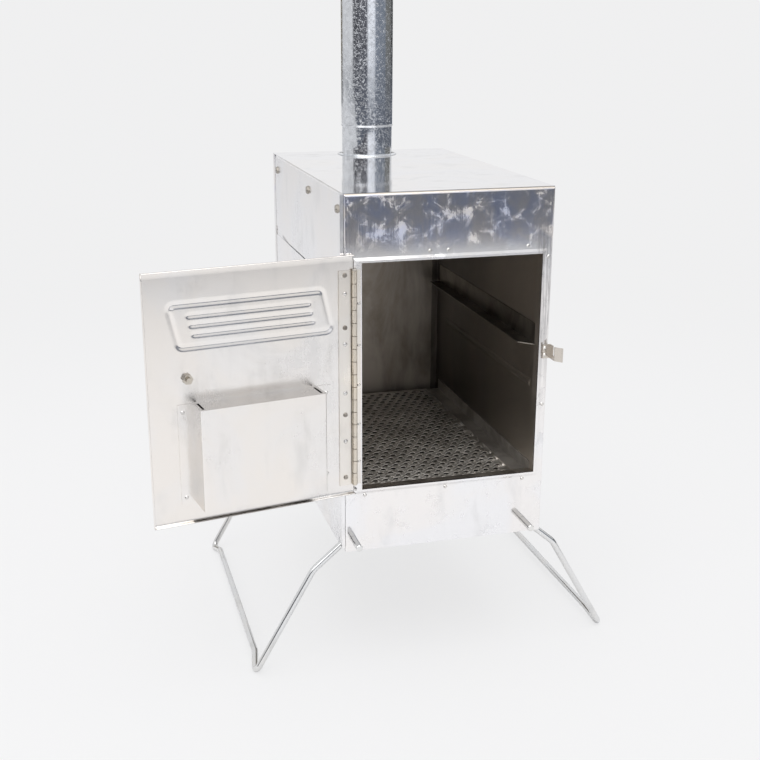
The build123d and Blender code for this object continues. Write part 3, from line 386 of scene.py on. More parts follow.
def spangled(name, colour):
    """Spangled bright steel: Voronoi cells with their own tone and slight tilt, and speckled roughness."""
    material, tree, shader = new_material(name, 1.0, 0.2, colour)
    where = place(tree)
    warped = add_node(tree, "ShaderNodeTexNoise", {"Vector": where, "Scale": WARP_SCALE, "Detail": 2.0})
    shifted = add_node(tree, "ShaderNodeVectorMath", {0: warped.outputs["Color"], 3: WARP}, operation="SCALE")
    moved = add_node(tree, "ShaderNodeVectorMath", {0: where, 1: shifted.outputs[0]}, operation="ADD")
    cell = add_node(tree, "ShaderNodeTexVoronoi", {"Vector": moved.outputs[0], "Scale": CELLS})
    tone = split(tree, cell.outputs["Color"])[0]
    tree.links.new(blend_colour(tree, tone, times(colour, 0.80), colour), shader.inputs["Base Color"])
    speckle = remap(tree, noise(tree, where, 330.0, 4.0, 0.7, 1.0), 0.46, 0.66)
    tree.links.new(remap(tree, speckle, 0, 1, 0.07, 0.50), shader.inputs["Roughness"])
    normal = bump(tree, noise(tree, where, 9.0, 1.0), 0.0003)
    tree.links.new(bump(tree, tone, 0.00003, under=normal), shader.inputs["Normal"])
    return material


flue_steel = spangled("flue_steel", (0.74, 0.76, 0.79))
print("made", flue_steel.name, "with cells of", round(1 / CELLS, 4), "m")

# %% [markdown]
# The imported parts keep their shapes, and each gets its finish in its material slot. The last line names any
# part that was forgotten.

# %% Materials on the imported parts
FINISH = {
    case_steel: ["front_panel", "back_panel"],
    side_steel: ["side_panel_left", "side_panel_right"],
    top_steel: ["top_plate"],
    shield_steel: ["shield_upper", "shield_lower"],
    door_steel: ["door_pan", "air_baffle"],
    inner_steel: ["floor_pan", "ledge_left", "ledge_right", "door_lintel"],
    rest_steel: ["grate_rest_left", "grate_rest_right", "grate_rest_front"],
    grate_steel: ["grate"],
    flue_steel: ["flue_pipe", "flue_collar"],
    hinge_steel: ["hinge_fixed_leaf", "hinge_door_leaf", "hinge_pin"],
    catch_steel: ["catch_bracket"],
    bracket_steel: ["latch_lever", "damper_rails", "air_slide", "slide_knob"],
    rivet_steel: [name for name in nodes if name.endswith("rivets")] + ["shield_spacers"],
    nut_steel: ["latch_bolt", "latch_washer", "latch_nut"],
    dark_screw: ["shield_screws", "hinge_door_screws"],
    leg_rod: ["leg_left", "leg_right"],
}
for material, names in FINISH.items():
    for name in names:
        nodes[name].data.materials.clear()
        nodes[name].data.materials.append(material)
print("nodes without a finish:", sorted(set(nodes) - {name for names in FINISH.values() for name in names}))

# %% [markdown]
# New surfaces start as arrays of points. A surface is a grid of points, each row joined to the next, and a
# piece is one mesh made from such grids. Its object stays at the origin, so its place is in its mesh.

# %% Mesh helpers
def grid_faces(rows, columns, wrap_rows=False, wrap_columns=False):
    """Quads of a grid of rows x columns points; a wrapped direction joins its last line to its first."""
    i, j = np.meshgrid(np.arange(rows - (not wrap_rows)), np.arange(columns - (not wrap_columns)), indexing="ij")
    below, beside = (i + 1) % rows, (j + 1) % columns
    corners = [i * columns + j, below * columns + j, below * columns + beside, i * columns + beside]
    return np.stack(corners, axis=-1).reshape(-1, 4)


def face_values(mesh, what):
    """The centres or the normals of all faces of a mesh, one row each."""
    values = np.empty(3 * len(mesh.polygons), np.float32)
    mesh.polygons.foreach_get(what, values)
    return values.reshape(-1, 3)


def make_piece(name, parts, material, body, replaced, sharp=35.0, weld=None, turn_out=False):
    """One smooth mesh from (points, faces) pairs; weld merges points that close, turn_out faces it outwards."""
    points, faces, start = [], [], 0
    for part_points, part_faces in parts:
        part_points = np.asarray(part_points, float).reshape(-1, 3)
        points.append(part_points)
        faces += (np.asarray(part_faces) + start).tolist()
        start += len(part_points)
    mesh = bpy.data.meshes.new(name)
    mesh.from_pydata(np.concatenate(points), [], faces)
    if weld is not None:
        work = bmesh.new()
        work.from_mesh(mesh)
        bmesh.ops.remove_doubles(work, verts=work.verts, dist=weld)
        if turn_out:
            bmesh.ops.recalc_face_normals(work, faces=work.faces)
        work.to_mesh(mesh)
        work.free()
    mesh.shade_smooth()
    mesh.set_sharp_from_angle(angle=math.radians(sharp))
    mesh.materials.append(material)
    piece = bpy.data.objects.new(name, mesh)
    bpy.context.scene.collection.objects.link(piece)
    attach(piece, body)
    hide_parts(replaced)
    print(name, len(mesh.polygons), "faces")
    return piece


# %% [markdown]
# Round parts could be cylinders with edits. A profile turned about an axis gives the same wall, bead and neck
# in one go, with as many sides as smooth reflections need.

# %% Turned surfaces
def turned_ring(profile, centre, sides=96, axis=(0, 0, 1), side=(1, 0, 0)):
    """Closed profile of (radius, height) pairs turned about an axis.

    A point is centre + radius * (cos t * side + sin t * other) + height * axis, with t once round.
    """
    axis, side = np.array(axis, float), np.array(side, float)
    other = np.cross(axis, side)
    angle = np.linspace(0, 2 * np.pi, sides, endpoint=False)
    radius, height = np.array(profile, float).T
    spoke = np.cos(angle)[:, None] * side + np.sin(angle)[:, None] * other
    points = np.array(centre) + spoke[:, None, :] * radius[None, :, None] + height[None, :, None] * axis
    return points, grid_faces(sides, len(radius), wrap_rows=True, wrap_columns=True)


# %% [markdown]
# The flue pipe is a thin wall turned about the flue's axis. Its foot is eased a little where it sits on the
# collar's bead, and its top is drawn in as a neck for the next section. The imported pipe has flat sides, which
# would break its reflections, so this round wall stands for it.

# %% Flue pipe
pipe_low, pipe_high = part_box("flue_pipe")
collar_low, collar_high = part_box("flue_collar")
FLUE = np.array([(collar_low.x + collar_high.x) / 2, (collar_low.y + collar_high.y) / 2, 0])
PIPE_RADIUS = (pipe_high.x - pipe_low.x) / 2
WALL, CLEARANCE = 0.0006, 0.0001
NECK = PIPE_RADIUS - WALL - CLEARANCE
PIPE_TOP, PIPE_FOOT = pipe_high.z, pipe_low.z
ROUND_SIDES = 160
outer_line = [(PIPE_RADIUS - 0.0002, PIPE_FOOT), (PIPE_RADIUS, PIPE_FOOT + 0.0004),
              (PIPE_RADIUS, PIPE_FOOT + 0.0008), (PIPE_RADIUS, PIPE_TOP - 0.0346), (PIPE_RADIUS, PIPE_TOP - 0.034),
              (NECK, PIPE_TOP - 0.030), (NECK, PIPE_TOP - 0.0294), (NECK, PIPE_TOP)]
inner_line = [(radius - WALL, height) for radius, height in reversed(outer_line)]
pipe_wall = turned_ring(outer_line + inner_line, FLUE, ROUND_SIDES)
print("pipe", round(2 * PIPE_RADIUS, 4), "m wide,", round(PIPE_TOP - PIPE_FOOT, 4), "m high")

# %% [markdown]
# A pipe of this kind is rolled from sheet, and its edges are folded into each other down its back. The fold is
# a low flat-topped ridge: one profile across, carried up the pipe, with its ends closed.

# %% Folded seam
SEAM_HALF, SEAM_RISE, SEAM_SUNK = 0.003, 0.0009, 0.0001
seam_across = np.linspace(-SEAM_HALF, SEAM_HALF, 9)
seam_up = np.linspace(PIPE_FOOT + 0.001, PIPE_TOP - 0.036, 24)
seam_top = PIPE_RADIUS - SEAM_SUNK + SEAM_RISE * (1 - (seam_across / SEAM_HALF) ** 6)
seam_root = np.full(len(seam_across), PIPE_RADIUS - 3 * SEAM_SUNK)


def on_flue(across, radius, up):
    """Points at a radius from the flue's axis and at a height, with across measured round the pipe from its back."""
    angle = np.pi / 2 + across / PIPE_RADIUS + 0 * up
    return np.stack([FLUE[0] + radius * np.cos(angle), FLUE[1] + radius * np.sin(angle), up + 0 * angle], axis=-1)


loop_across = np.concatenate([seam_across, seam_across[::-1]])[:, None]
seam = on_flue(loop_across, np.concatenate([seam_top, seam_root])[:, None], seam_up)
ridge_end = np.stack([seam[:9, -1], seam[:8:-1, -1]], axis=1)
ridge_foot = np.stack([seam[:8:-1, 0], seam[:9, 0]], axis=1)
seam_parts = [(seam, grid_faces(18, 24, wrap_rows=True))] + [(end, grid_faces(9, 2)) for end in (ridge_end, ridge_foot)]
make_piece("flue_pipe_wall", [pipe_wall] + seam_parts, flue_steel, "flue", "flue_pipe", weld=0.00001)

# %% [markdown]
# The collar is pressed from one disc: a flat rim on the top plate, a short upright spigot, and a bead that the
# pipe stops on. Its profile is the rim, the bead as half a circle, and the spigot's inner wall.

# %% Flue collar
RIM, BEAD = (collar_high.x - collar_low.x) / 2, 0.0012
bead_turn = np.linspace(-np.pi / 2, np.pi / 2, 9)
bead_line = [(NECK + BEAD * math.cos(t), PIPE_FOOT - 0.0013 + BEAD * math.sin(t)) for t in bead_turn]
rim_line = [(NECK, collar_low.z), (NECK, CASE_TOP), (RIM, CASE_TOP + 0.0001), (RIM + 0.0002, CASE_TOP + 0.0004),
            (RIM - 0.0002, CASE_TOP + 0.0008), (NECK + 0.0016, CASE_TOP + 0.0009), (NECK + 0.0003, CASE_TOP + 0.0014),
            (NECK, CASE_TOP + 0.0022), (NECK, CASE_TOP + 0.0026), (NECK, PIPE_FOOT - 0.0032)]
spigot_line = [(NECK, collar_high.z), (NECK - WALL, collar_high.z), (NECK - WALL, collar_low.z)]
collar = turned_ring(rim_line + bead_line + spigot_line, FLUE, ROUND_SIDES)
make_piece("flue_collar_ring", [collar], flue_steel, "root", "flue_collar")

# %% [markdown]
# The fire door is one sheet with a narrow edge folded back on three sides. A stiffening frame is pressed into
# it, with plain ribs inside. It could be cut and bevelled by hand, but pressed steel flows evenly, and a
# formula does that better: the skin is a grid of points whose outward place is a rounded channel wherever the
# distance to the frame's outline is small. First come the two formulas and the lines of the grid.

# %% Formulas of pressed sheet
def outline_distance(along, up, corners, rounding):
    """Signed distance to a rounded quadrilateral: distance to the corners moved in by the rounding, less it."""
    run = np.roll(corners, -1, axis=0) - corners
    normal = np.stack([run[:, 1], -run[:, 0]], axis=1) / np.linalg.norm(run, axis=1)[:, None]
    normal *= np.sign(((corners - corners.mean(axis=0)) * normal).sum(axis=1))[:, None]
    sides = np.stack([np.roll(normal, 1, axis=0), normal], axis=1)
    moved = np.linalg.solve(sides, (sides @ corners[..., None]) - rounding)[..., 0]
    point = np.stack([along, up], axis=-1)
    nearest, inside = np.full(along.shape, np.inf), np.ones(along.shape, bool)
    for start, end, away in zip(moved, np.roll(moved, -1, axis=0), normal):
        share = np.clip(((point - start) @ (end - start)) / ((end - start) @ (end - start)), 0, 1)
        nearest = np.minimum(nearest, np.linalg.norm(point - start - share[..., None] * (end - start), axis=-1))
        inside &= ((point - start) @ away) < 0
    return np.where(inside, -nearest, nearest) - rounding


def channel(distance, half_width, depth):
    """Rounded channel: depth times cos squared of the distance, which is a quarter turn at half_width."""
    return depth * np.cos(np.clip(np.abs(distance) / half_width, 0, 1) * np.pi / 2) ** 2


def steps(*runs):
    """One rising line of numbers from runs of (start, end, step)."""
    lines = [np.linspace(a, b, max(2, int(round((b - a) / step)) + 1)) for a, b, step in runs]
    return np.unique(np.round(np.concatenate(lines), 6))


# %% [markdown]
# The grid is fine where something is pressed or pierced, and coarse elsewhere. The frame leans as a slanted
# box does, and the three ribs inside it lean with it.

# %% Door skin with its frame and ribs
SKIN = 0.0040  # how far the door's outer face lies from the hinge's axis
FOLD, FLANGE = 0.0025, 0.0069
DOOR_LOW, DOOR_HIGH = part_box("door_pan")[0].z - CASE_LOW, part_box("door_pan")[1].z - CASE_LOW
DOOR_WIDTH = CASE_HALF_WIDTH + 0.0002 - HINGE.x
FRAME = np.array([(0.2125, 0.3235), (0.0375, 0.3235), (0.0265, 0.2765), (0.2015, 0.2765)])
FRAME_ROUNDING, FRAME_HALF, FRAME_DEPTH = 0.006, 0.0042, 0.0012
RIB_MIDDLE, RIB_PITCH, RIB_LEAN = 0.300, 0.0105, 0.011 / 0.047
RIB_START, RIB_END, RIB_HALF, RIB_DEPTH = 0.052, 0.187, 0.0036, 0.0011
skin_end, skin_low, skin_high = DOOR_WIDTH - FOLD, DOOR_LOW + FOLD, DOOR_HIGH - FOLD
skin_along = steps((0.0, skin_end, 0.0015))
skin_up = steps((skin_low, 0.138, 0.006), (0.138, 0.162, 0.0015), (0.162, 0.234, 0.006), (0.234, 0.250, 0.001),
                (0.250, 0.268, 0.006), (0.268, 0.332, 0.00125), (0.332, skin_high, 0.005))
S, Y = np.meshgrid(skin_along, skin_up, indexing="ij")
pressed = channel(outline_distance(S, Y, FRAME, FRAME_ROUNDING), FRAME_HALF, FRAME_DEPTH)
for number in (-1, 0, 1):
    height = RIB_MIDDLE + number * RIB_PITCH
    lean = (height - RIB_MIDDLE) * RIB_LEAN
    start, end = RIB_START + lean, RIB_END + lean
    gap = np.hypot(np.clip(np.abs(S - (start + end) / 2) - (end - start) / 2, 0, None), Y - height)
    pressed = np.maximum(pressed, channel(gap, RIB_HALF, RIB_DEPTH))
print("door skin:", S.shape[0], "x", S.shape[1], "points, pressed to", round(float(pressed.max()), 5), "m")

# %% [markdown]
# Three air holes feed the baffle box, and one hole takes the latch's bolt. A hole could be cut by a boolean,
# which leaves ragged faces in a thin sheet. Here the faces inside a circle are dropped, and the points just
# outside it are drawn in to its edge, which leaves a clean round rim.

# %% Holes
AIR_HOLES = [(0.1177 + shift, 0.150, 0.0070) for shift in (-0.032, 0.0, 0.032)]
HOLES = AIR_HOLES + [(0.1945, 0.2422, 0.0033)]
RIM_REACH = 0.0012
keep = np.ones(S.shape, bool)
for hole_along, hole_up, hole_radius in HOLES:
    reach = np.hypot(S - hole_along, Y - hole_up)
    keep &= reach > hole_radius
    near = keep & (reach < hole_radius + RIM_REACH)
    S = np.where(near, hole_along + (S - hole_along) * hole_radius / np.maximum(reach, 1e-6), S)
    Y = np.where(near, hole_up + (Y - hole_up) * hole_radius / np.maximum(reach, 1e-6), Y)
skin_quads = grid_faces(*S.shape)
skin_quads = skin_quads[keep.ravel()[skin_quads].all(axis=1)]
print("holes:", len(HOLES), "faces left:", len(skin_quads))

# %% [markdown]
# The folded edges are grids too: a quarter circle, then a straight flange. They start on the skin's own edge
# points, so the door is one skin once it is welded. Solidify then gives it the thickness of its sheet, inwards.

# %% Folded edges and the finished door
fold_turn = np.linspace(0, np.pi / 2, 6)
fold_out = np.concatenate([FOLD * np.sin(fold_turn), [FOLD]])
fold_back = np.concatenate([FOLD * (1 - np.cos(fold_turn)), [FLANGE]])
depth = SKIN - fold_back[:, None]
side_up = np.repeat(skin_up[None], len(fold_out), axis=0)
side_up[:, 0] -= fold_out
side_up[:, -1] += fold_out
edge_along = np.repeat(skin_along[None], len(fold_out), axis=0)
edge_along[:, -1] += fold_out
far_edge = on_door(skin_end + fold_out[:, None], side_up, depth)
top_edge = on_door(edge_along, skin_high + fold_out[:, None], depth)
low_edge = on_door(edge_along, skin_low - fold_out[:, None], depth)
folds = [(edge, grid_faces(*edge.shape[:2])) for edge in (far_edge, top_edge, low_edge)]
skin = (on_door(S, Y, SKIN + pressed), skin_quads)
door_sheet = make_piece("door_sheet", [skin] + folds, door_steel, "door", "door_pan",
                        weld=0.00003, turn_out=True)
facing = float(face_values(door_sheet.data, "normal").sum(axis=0) @ np.array(OUTWARD))
thick = door_sheet.modifiers.new("sheet", "SOLIDIFY")
thick.thickness = SHEET
thick.offset = -1 if facing > 0 else 1
print("door", round(DOOR_WIDTH, 4), "m wide, skin faces outwards:", facing > 0)

# %% [markdown]
# The door hangs on a piano hinge: two strips whose edges are rolled in turn round one pin. A rolled knuckle is a
# ribbon bent round the pin, so its profile is carried a short way up the hinge, knuckle after knuckle.

# %% Piano hinge
KNUCKLE, LEAF, COUNT = 0.0031, 0.0012, 17
KNUCKLE_GAP = 0.0004  # left free at each end of a knuckle
STRIP_START, CURL_START = 0.0034, 0.0036
hinge_low, hinge_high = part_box("hinge_door_leaf")[0].z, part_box("hinge_door_leaf")[1].z
hinge_foot = np.array((HINGE.x, HINGE.y, 0.0))
roll = np.radians(np.linspace(90, 375, 22))


def hinge_half(name, along, outward, width, first, body, replaced):
    """Strip and every other knuckle: inner and outer line of the rolled profile, each carried up by one knuckle."""
    along, outward = np.array(along), np.array(outward)

    def ribbon(line_along, line_out, low, high):
        """Line in the hinge's plane, given a leaf's thickness to its left and carried from low to high."""
        rim = np.stack([line_along, line_out], axis=-1)
        run = np.gradient(rim, axis=0)
        run /= np.linalg.norm(run, axis=1)[:, None]
        inner = rim + LEAF * np.stack([-run[:, 1], run[:, 0]], axis=-1)
        corners = [(rim, low), (rim, high), (inner, high), (inner, low)]
        points = [hinge_foot + line[:, :1] * along + line[:, 1:] * outward + (0, 0, up) for line, up in corners]
        last = 4 * (len(rim) - 1)
        ends = np.array([[0, 1, 2, 3], [last + 3, last + 2, last + 1, last]])
        return np.stack(points, axis=1), np.concatenate([grid_faces(len(rim), 4, wrap_columns=True), ends])

    rise = (hinge_high - hinge_low) / COUNT
    strip_along = np.linspace(STRIP_START, width, 3)[::-1]
    curl_along = np.concatenate([[CURL_START], KNUCKLE * np.cos(roll)])
    curl_out = np.concatenate([[KNUCKLE], KNUCKLE * np.sin(roll)])
    lows = hinge_low + np.arange(first, COUNT, 2) * rise + KNUCKLE_GAP
    parts = [ribbon(strip_along, np.full(3, KNUCKLE), hinge_low, hinge_high)]
    parts += [ribbon(curl_along, curl_out, low, low + rise - 2 * KNUCKLE_GAP) for low in lows]
    piece = make_piece(name, parts, knuckle_steel, body, replaced, weld=1e-6, turn_out=True)
    piece.data.materials.append(hinge_steel)
    reach = (face_values(piece.data, "center") - hinge_foot) @ along
    on_strip = reach > (STRIP_START + CURL_START) / 2
    piece.data.polygons.foreach_set("material_index", on_strip.astype(np.int32))


hinge_half("hinge_half_door", ALONG, OUTWARD, 0.018, 1, "door", "hinge_door_leaf")
hinge_half("hinge_half_fixed", (1, 0, 0), (0, 1, 0), 0.0079, 0, "root", "hinge_fixed_leaf")

# %% [markdown]
# The door's strip is held by dome-headed rivets. A squashed sphere would do from afar. A quarter-ellipse turned
# about the rivet's axis, over a low ring where the head was set, catches the light as a real head does. The
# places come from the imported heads: sorted by height, their points fall into one group for each rivet.

# %% Hinge rivets
def rivet_places(node):
    """Mean of each packed head's points: heights are cut wherever they jump by more than a head's width."""
    points = np.empty(3 * len(nodes[node].data.vertices), np.float32)
    nodes[node].data.vertices.foreach_get("co", points)
    points = np.unique(np.round(points.reshape(-1, 3).astype(float), 6), axis=0)
    points = points[np.argsort(points[:, 2])]
    cuts = np.flatnonzero(np.diff(points[:, 2]) > 0.006) + 1
    return [head.mean(axis=0) for head in np.split(points, cuts)]


def dome(foot, axis, radius, height):
    """Turned head: r = radius cos t, h = height sin t, over a thin ring one sixth wider than the dome."""
    angle = np.linspace(0, np.pi / 2, 9)
    ring = [(1e-5, 0.0), (radius * 1.16, 0.0), (radius * 1.16, height * 0.12), (radius * 1.04, height * 0.20)]
    cap = [(max(1e-5, radius * math.cos(t)), height * (0.16 + 0.84 * math.sin(t))) for t in angle]
    side = np.cross(axis, (0.0, 0.0, 1.0))
    return turned_ring(ring + cap, foot, 32, axis, side / np.linalg.norm(side))


LEAF_FACE, HEAD_RADIUS, HEAD_HEIGHT = KNUCKLE - LEAF, 0.0024, 0.0014
heads = []
for middle in rivet_places("hinge_door_rivets"):
    on_face = middle + np.array(OUTWARD) * (LEAF_FACE - (middle - np.array(HINGE)) @ np.array(OUTWARD))
    heads.append(dome(on_face, -np.array(OUTWARD), HEAD_RADIUS, HEAD_HEIGHT))
make_piece("door_leaf_rivets", heads, rivet_steel, "door", "hinge_door_rivets", sharp=60)
print("rivets on the door's strip:", len(heads))

# %% [markdown]
# Each leg is one rod bent round its corners: it turns in the case at both ends, spreads, comes down, and runs
# back along the ground on a bar between two feet. A bevelled curve would also give a rod. A circle carried
# along a worked-out path keeps every bend a true arc.

# %% A bent path and a rod along it
def rounded_path(corners, radii, step=0.15):
    """Polyline with each inner corner replaced by an arc tangent to both runs, with a point every step radians."""
    corners = np.asarray(corners, float)
    path = [corners[:1]]
    for before, corner, after, radius in zip(corners, corners[1:], corners[2:], radii):
        come = (corner - before) / np.linalg.norm(corner - before)
        leave = (after - corner) / np.linalg.norm(after - corner)
        turn = math.acos(float(np.clip(come @ leave, -1, 1)))
        start = corner - come * radius * math.tan(turn / 2)
        inward = leave - come * (come @ leave)
        inward /= np.linalg.norm(inward)
        angle = np.linspace(0, turn, max(3, int(turn / step) + 1))[:, None]
        path.append(start + radius * (np.sin(angle) * come + (1 - np.cos(angle)) * inward))
    path.append(corners[-1:])
    return np.concatenate(path)


def rod(path, radius, reference, sides=20, tip=0.0006):
    """Rod with eased ends: at each point of the path a circle of the radius, square to the path's direction.

    A circle's own first direction is the reference less its share along the path, so the rod doesn't twist.
    """
    along = np.gradient(path, axis=0)
    along /= np.linalg.norm(along, axis=1)[:, None]
    first, last = path[0], path[-1]
    path = np.concatenate([[first, first, first + along[0] * tip], path[1:-1], [last - along[-1] * tip, last, last]])
    along = np.concatenate([along[[0, 0, 0]], along[1:-1], along[[-1, -1, -1]]])
    scale = np.full(len(path), radius)
    scale[[0, 1, -2, -1]] = 1e-5, radius - tip, radius - tip, 1e-5
    side = reference - along * (along @ reference)[:, None]
    side /= np.linalg.norm(side, axis=1)[:, None]
    other = np.cross(along, side)
    angle = np.linspace(0, 2 * np.pi, sides, endpoint=False)
    ring = np.cos(angle)[None, :, None] * side[:, None] + np.sin(angle)[None, :, None] * other[:, None]
    return path[:, None] + ring * scale[:, None, None], grid_faces(len(path), sides, wrap_columns=True)


# %% [markdown]
# The two legs are alike but for where they turn in the case. Their angles and lengths were measured against the
# feet and knees. The circle's size at the very end of a rod is almost nothing, so welding closes it to a point.

# %% Legs of bent rod
ROD_RADIUS, TIP, THIGH, SHIN = 0.004, 0.028, 0.0625, 0.148
THIGH_ANGLE, SHIN_ANGLE = math.radians(40.5), math.radians(60.0)
FOOT_RUN, FOOT_RISE, BEND_DROP = 0.035, 0.012, 0.0011
FRONT_Y, BACK_Y = -CASE_HALF_DEPTH + 0.012, CASE_HALF_DEPTH - 0.033
BENDS = [0.008, 0.024, 0.008, 0.014, 0.014, 0.008, 0.024, 0.008]
for body, node, side, pivot_x in (("left_leg", "leg_left", -1, -0.115), ("right_leg", "leg_right", 1, 0.101)):
    pivot_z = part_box(node)[1].z - ROD_RADIUS
    knee_x, knee_z = pivot_x + side * THIGH * math.cos(THIGH_ANGLE), pivot_z - THIGH * math.sin(THIGH_ANGLE)
    foot_x = knee_x + side * SHIN * math.cos(SHIN_ANGLE)
    foot_z = knee_z - SHIN * math.sin(SHIN_ANGLE) - BEND_DROP
    bar_x, bar_z = foot_x - side * FOOT_RISE * math.cos(SHIN_ANGLE), foot_z + FOOT_RISE * math.sin(SHIN_ANGLE)
    corners = [
        (pivot_x, -CASE_HALF_DEPTH - TIP, pivot_z), (pivot_x, FRONT_Y, pivot_z), (knee_x, FRONT_Y, knee_z),
        (foot_x, FRONT_Y, foot_z), (bar_x, FRONT_Y + FOOT_RUN, bar_z), (bar_x, BACK_Y - FOOT_RUN, bar_z),
        (foot_x, BACK_Y, foot_z), (knee_x, BACK_Y, knee_z), (pivot_x, BACK_Y, pivot_z),
        (pivot_x, CASE_HALF_DEPTH + TIP, pivot_z)]
    reference = np.array((side * math.sin(THIGH_ANGLE), 0.0, math.cos(THIGH_ANGLE)))
    leg = rod(rounded_path(corners, BENDS), ROD_RADIUS, reference)
    make_piece(node + "_rod", [leg], leg_rod, body, node, weld=0.00003, turn_out=True)
print("feet at", round(foot_z - ROD_RADIUS, 4), "m before their bends are rounded")

# %% [markdown]
# The grate is one plate with hundreds of louvres. A louvre is a slit whose far lip is pushed up into a small
# hood that opens towards the door. A bump texture would look flat from this low, so each louvre is real: a grid
# of points with a doubled row along its slit, and a hood that rises behind the slit and falls away to the
# sides and the back.

# %% One louvre
PITCH_X, PITCH_Y, HOOD_WIDTH, HOOD_DEPTH, HOOD_RISE = 0.0132, 0.0113, 0.0086, 0.0052, 0.0022
SLIT, SLIT_GAP = -0.0022, 0.0010


def louvre_tile(width, depth):
    """Tile of sheet round the origin, with a hood behind the slit.

    Height is rise * sqrt(1 - (x / half width)^2) * (1 - (y - slit) / hood depth)^1.2.
    """
    x = np.concatenate([[-width / 2], np.linspace(-HOOD_WIDTH / 2, HOOD_WIDTH / 2, 7), [width / 2]])
    y_back = np.concatenate([SLIT + HOOD_DEPTH * np.array([0, 0.12, 0.35, 0.65, 1.0]), [depth / 2]])
    y_front = np.array([-depth / 2, SLIT - SLIT_GAP])
    X, Y = np.meshgrid(x, y_back, indexing="ij")
    across = np.clip(1 - (X / (HOOD_WIDTH / 2)) ** 2, 0, 1)
    behind = np.clip(1 - (Y - SLIT) / HOOD_DEPTH, 0, 1)
    back = np.stack([X, Y, HOOD_RISE * across ** 0.5 * behind ** 1.2], axis=-1)
    X, Y = np.meshgrid(x, y_front, indexing="ij")
    front = np.stack([X, Y, 0 * X], axis=-1)
    bridges = [np.stack([front[pair, 1], back[pair, 0]], axis=1) for pair in (slice(0, 2), slice(7, 9))]
    return [(back, grid_faces(9, 6)), (front, grid_faces(9, 2))] + [(edge, grid_faces(2, 2)) for edge in bridges]


tiles = louvre_tile(PITCH_X, PITCH_Y)
print("one louvre:", sum(len(faces) for _, faces in tiles), "faces")

# %% [markdown]
# The plate is that tile laid out in staggered rows, with plain strips at the rows' ends and along the front
# and back. The thickness comes last, downwards, so the hoods keep their height.

# %% Grate
MARGIN, GRATE_SHEET = 0.0030, 0.0005
grate_low, grate_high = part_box("grate")
grate_width, grate_depth = grate_high.x - grate_low.x, grate_high.y - grate_low.y
grate_middle = Vector(((grate_high.x + grate_low.x) / 2, (grate_high.y + grate_low.y) / 2, grate_low.z + SHEET))
louvre_rows = int((grate_depth - 2 * MARGIN) / PITCH_Y)
louvre_columns = int((grate_width - 2 * MARGIN) / PITCH_X)


def strip(low_x, high_x, low_y, high_y):
    """Plain rectangle of sheet at the plate's height."""
    x, y = np.meshgrid((low_x, high_x), (low_y, high_y), indexing="ij")
    return np.stack([x, y, np.full(x.shape, grate_middle.z)], axis=-1), grid_faces(2, 2)


spots, edge_parts = [], []
for row in range(louvre_rows):
    count = louvre_columns - row % 2
    row_x = (np.arange(count) - (count - 1) / 2) * PITCH_X
    row_y = np.full(count, (row - (louvre_rows - 1) / 2) * PITCH_Y)
    spots.append(np.stack([row_x, row_y, 0 * row_x], axis=-1))
    low_y, reach = (row - louvre_rows / 2) * PITCH_Y + grate_middle.y, count * PITCH_X / 2
    edge_parts.append(strip(grate_low.x, grate_middle.x - reach, low_y, low_y + PITCH_Y))
    edge_parts.append(strip(grate_middle.x + reach, grate_high.x, low_y, low_y + PITCH_Y))
spots = np.concatenate(spots) + np.array(grate_middle)
field_half = louvre_rows * PITCH_Y / 2
edge_parts.append(strip(grate_low.x, grate_high.x, grate_low.y, grate_middle.y - field_half))
edge_parts.append(strip(grate_low.x, grate_high.x, grate_middle.y + field_half, grate_high.y))
grate_parts = []
for tile_points, tile_faces in tiles:
    tile_points = tile_points.reshape(-1, 3)
    shifts = (np.arange(len(spots)) * len(tile_points))[:, None, None]
    grate_parts.append((spots[:, None] + tile_points[None], (tile_faces[None] + shifts).reshape(-1, 4)))
grate_plate = make_piece("louvred_grate", grate_parts + edge_parts, grate_steel, "grate", "grate",
                         weld=0.00002)
solid = grate_plate.modifiers.new("sheet", "SOLIDIFY")
solid.thickness = GRATE_SHEET
solid.offset = -1
print("louvres:", len(spots), "in", louvre_rows, "rows")

# %% [markdown]
# The studio starts with a plain pale floor that keeps the stove's shadow. To look as white as the backdrop
# without more light on the object, it glows for the camera alone, fully so in the distance, where it meets the
# backdrop's colour and no horizon shows.

# %% Floor
FLOOR_FRONT, FLOOR_BACK, FLOOR_LEFT, FLOOR_RIGHT = -2.7, 9.0, -9.0, 3.4
BACKDROP = (0.87, 0.87, 0.875)
GLOW_NEAR, GLOW_FAR, GLOW_START, GLOW_FULL = 0.7, 2.2, 0.80, 1.0
floor_corners = [(x, y, 0) for x in (FLOOR_LEFT, FLOOR_RIGHT) for y in (FLOOR_FRONT, FLOOR_BACK)]
floor_mesh = bpy.data.meshes.new("studio_floor")
floor_mesh.from_pydata(floor_corners, [], [(0, 2, 3, 1)])
studio_floor = bpy.data.objects.new("studio_floor", floor_mesh)
bpy.context.scene.collection.objects.link(studio_floor)
material, tree, shader = new_material("studio_floor", 0.0, 0.85, (0.92, 0.92, 0.925))
glow = add_node(tree, "ShaderNodeEmission", {"Color": (*BACKDROP, 1), "Strength": 1.0})
distance = add_node(tree, "ShaderNodeVectorMath", {0: place(tree)}, operation="LENGTH").outputs["Value"]
camera_ray = add_node(tree, "ShaderNodeLightPath").outputs["Is Camera Ray"]
share = product(tree, camera_ray, remap(tree, distance, GLOW_NEAR, GLOW_FAR, GLOW_START, GLOW_FULL))
mix = add_node(tree, "ShaderNodeMixShader", {0: share, 1: shader.outputs[0], 2: glow.outputs[0]})
floor_output = next(node for node in tree.nodes if node.type == "OUTPUT_MATERIAL")
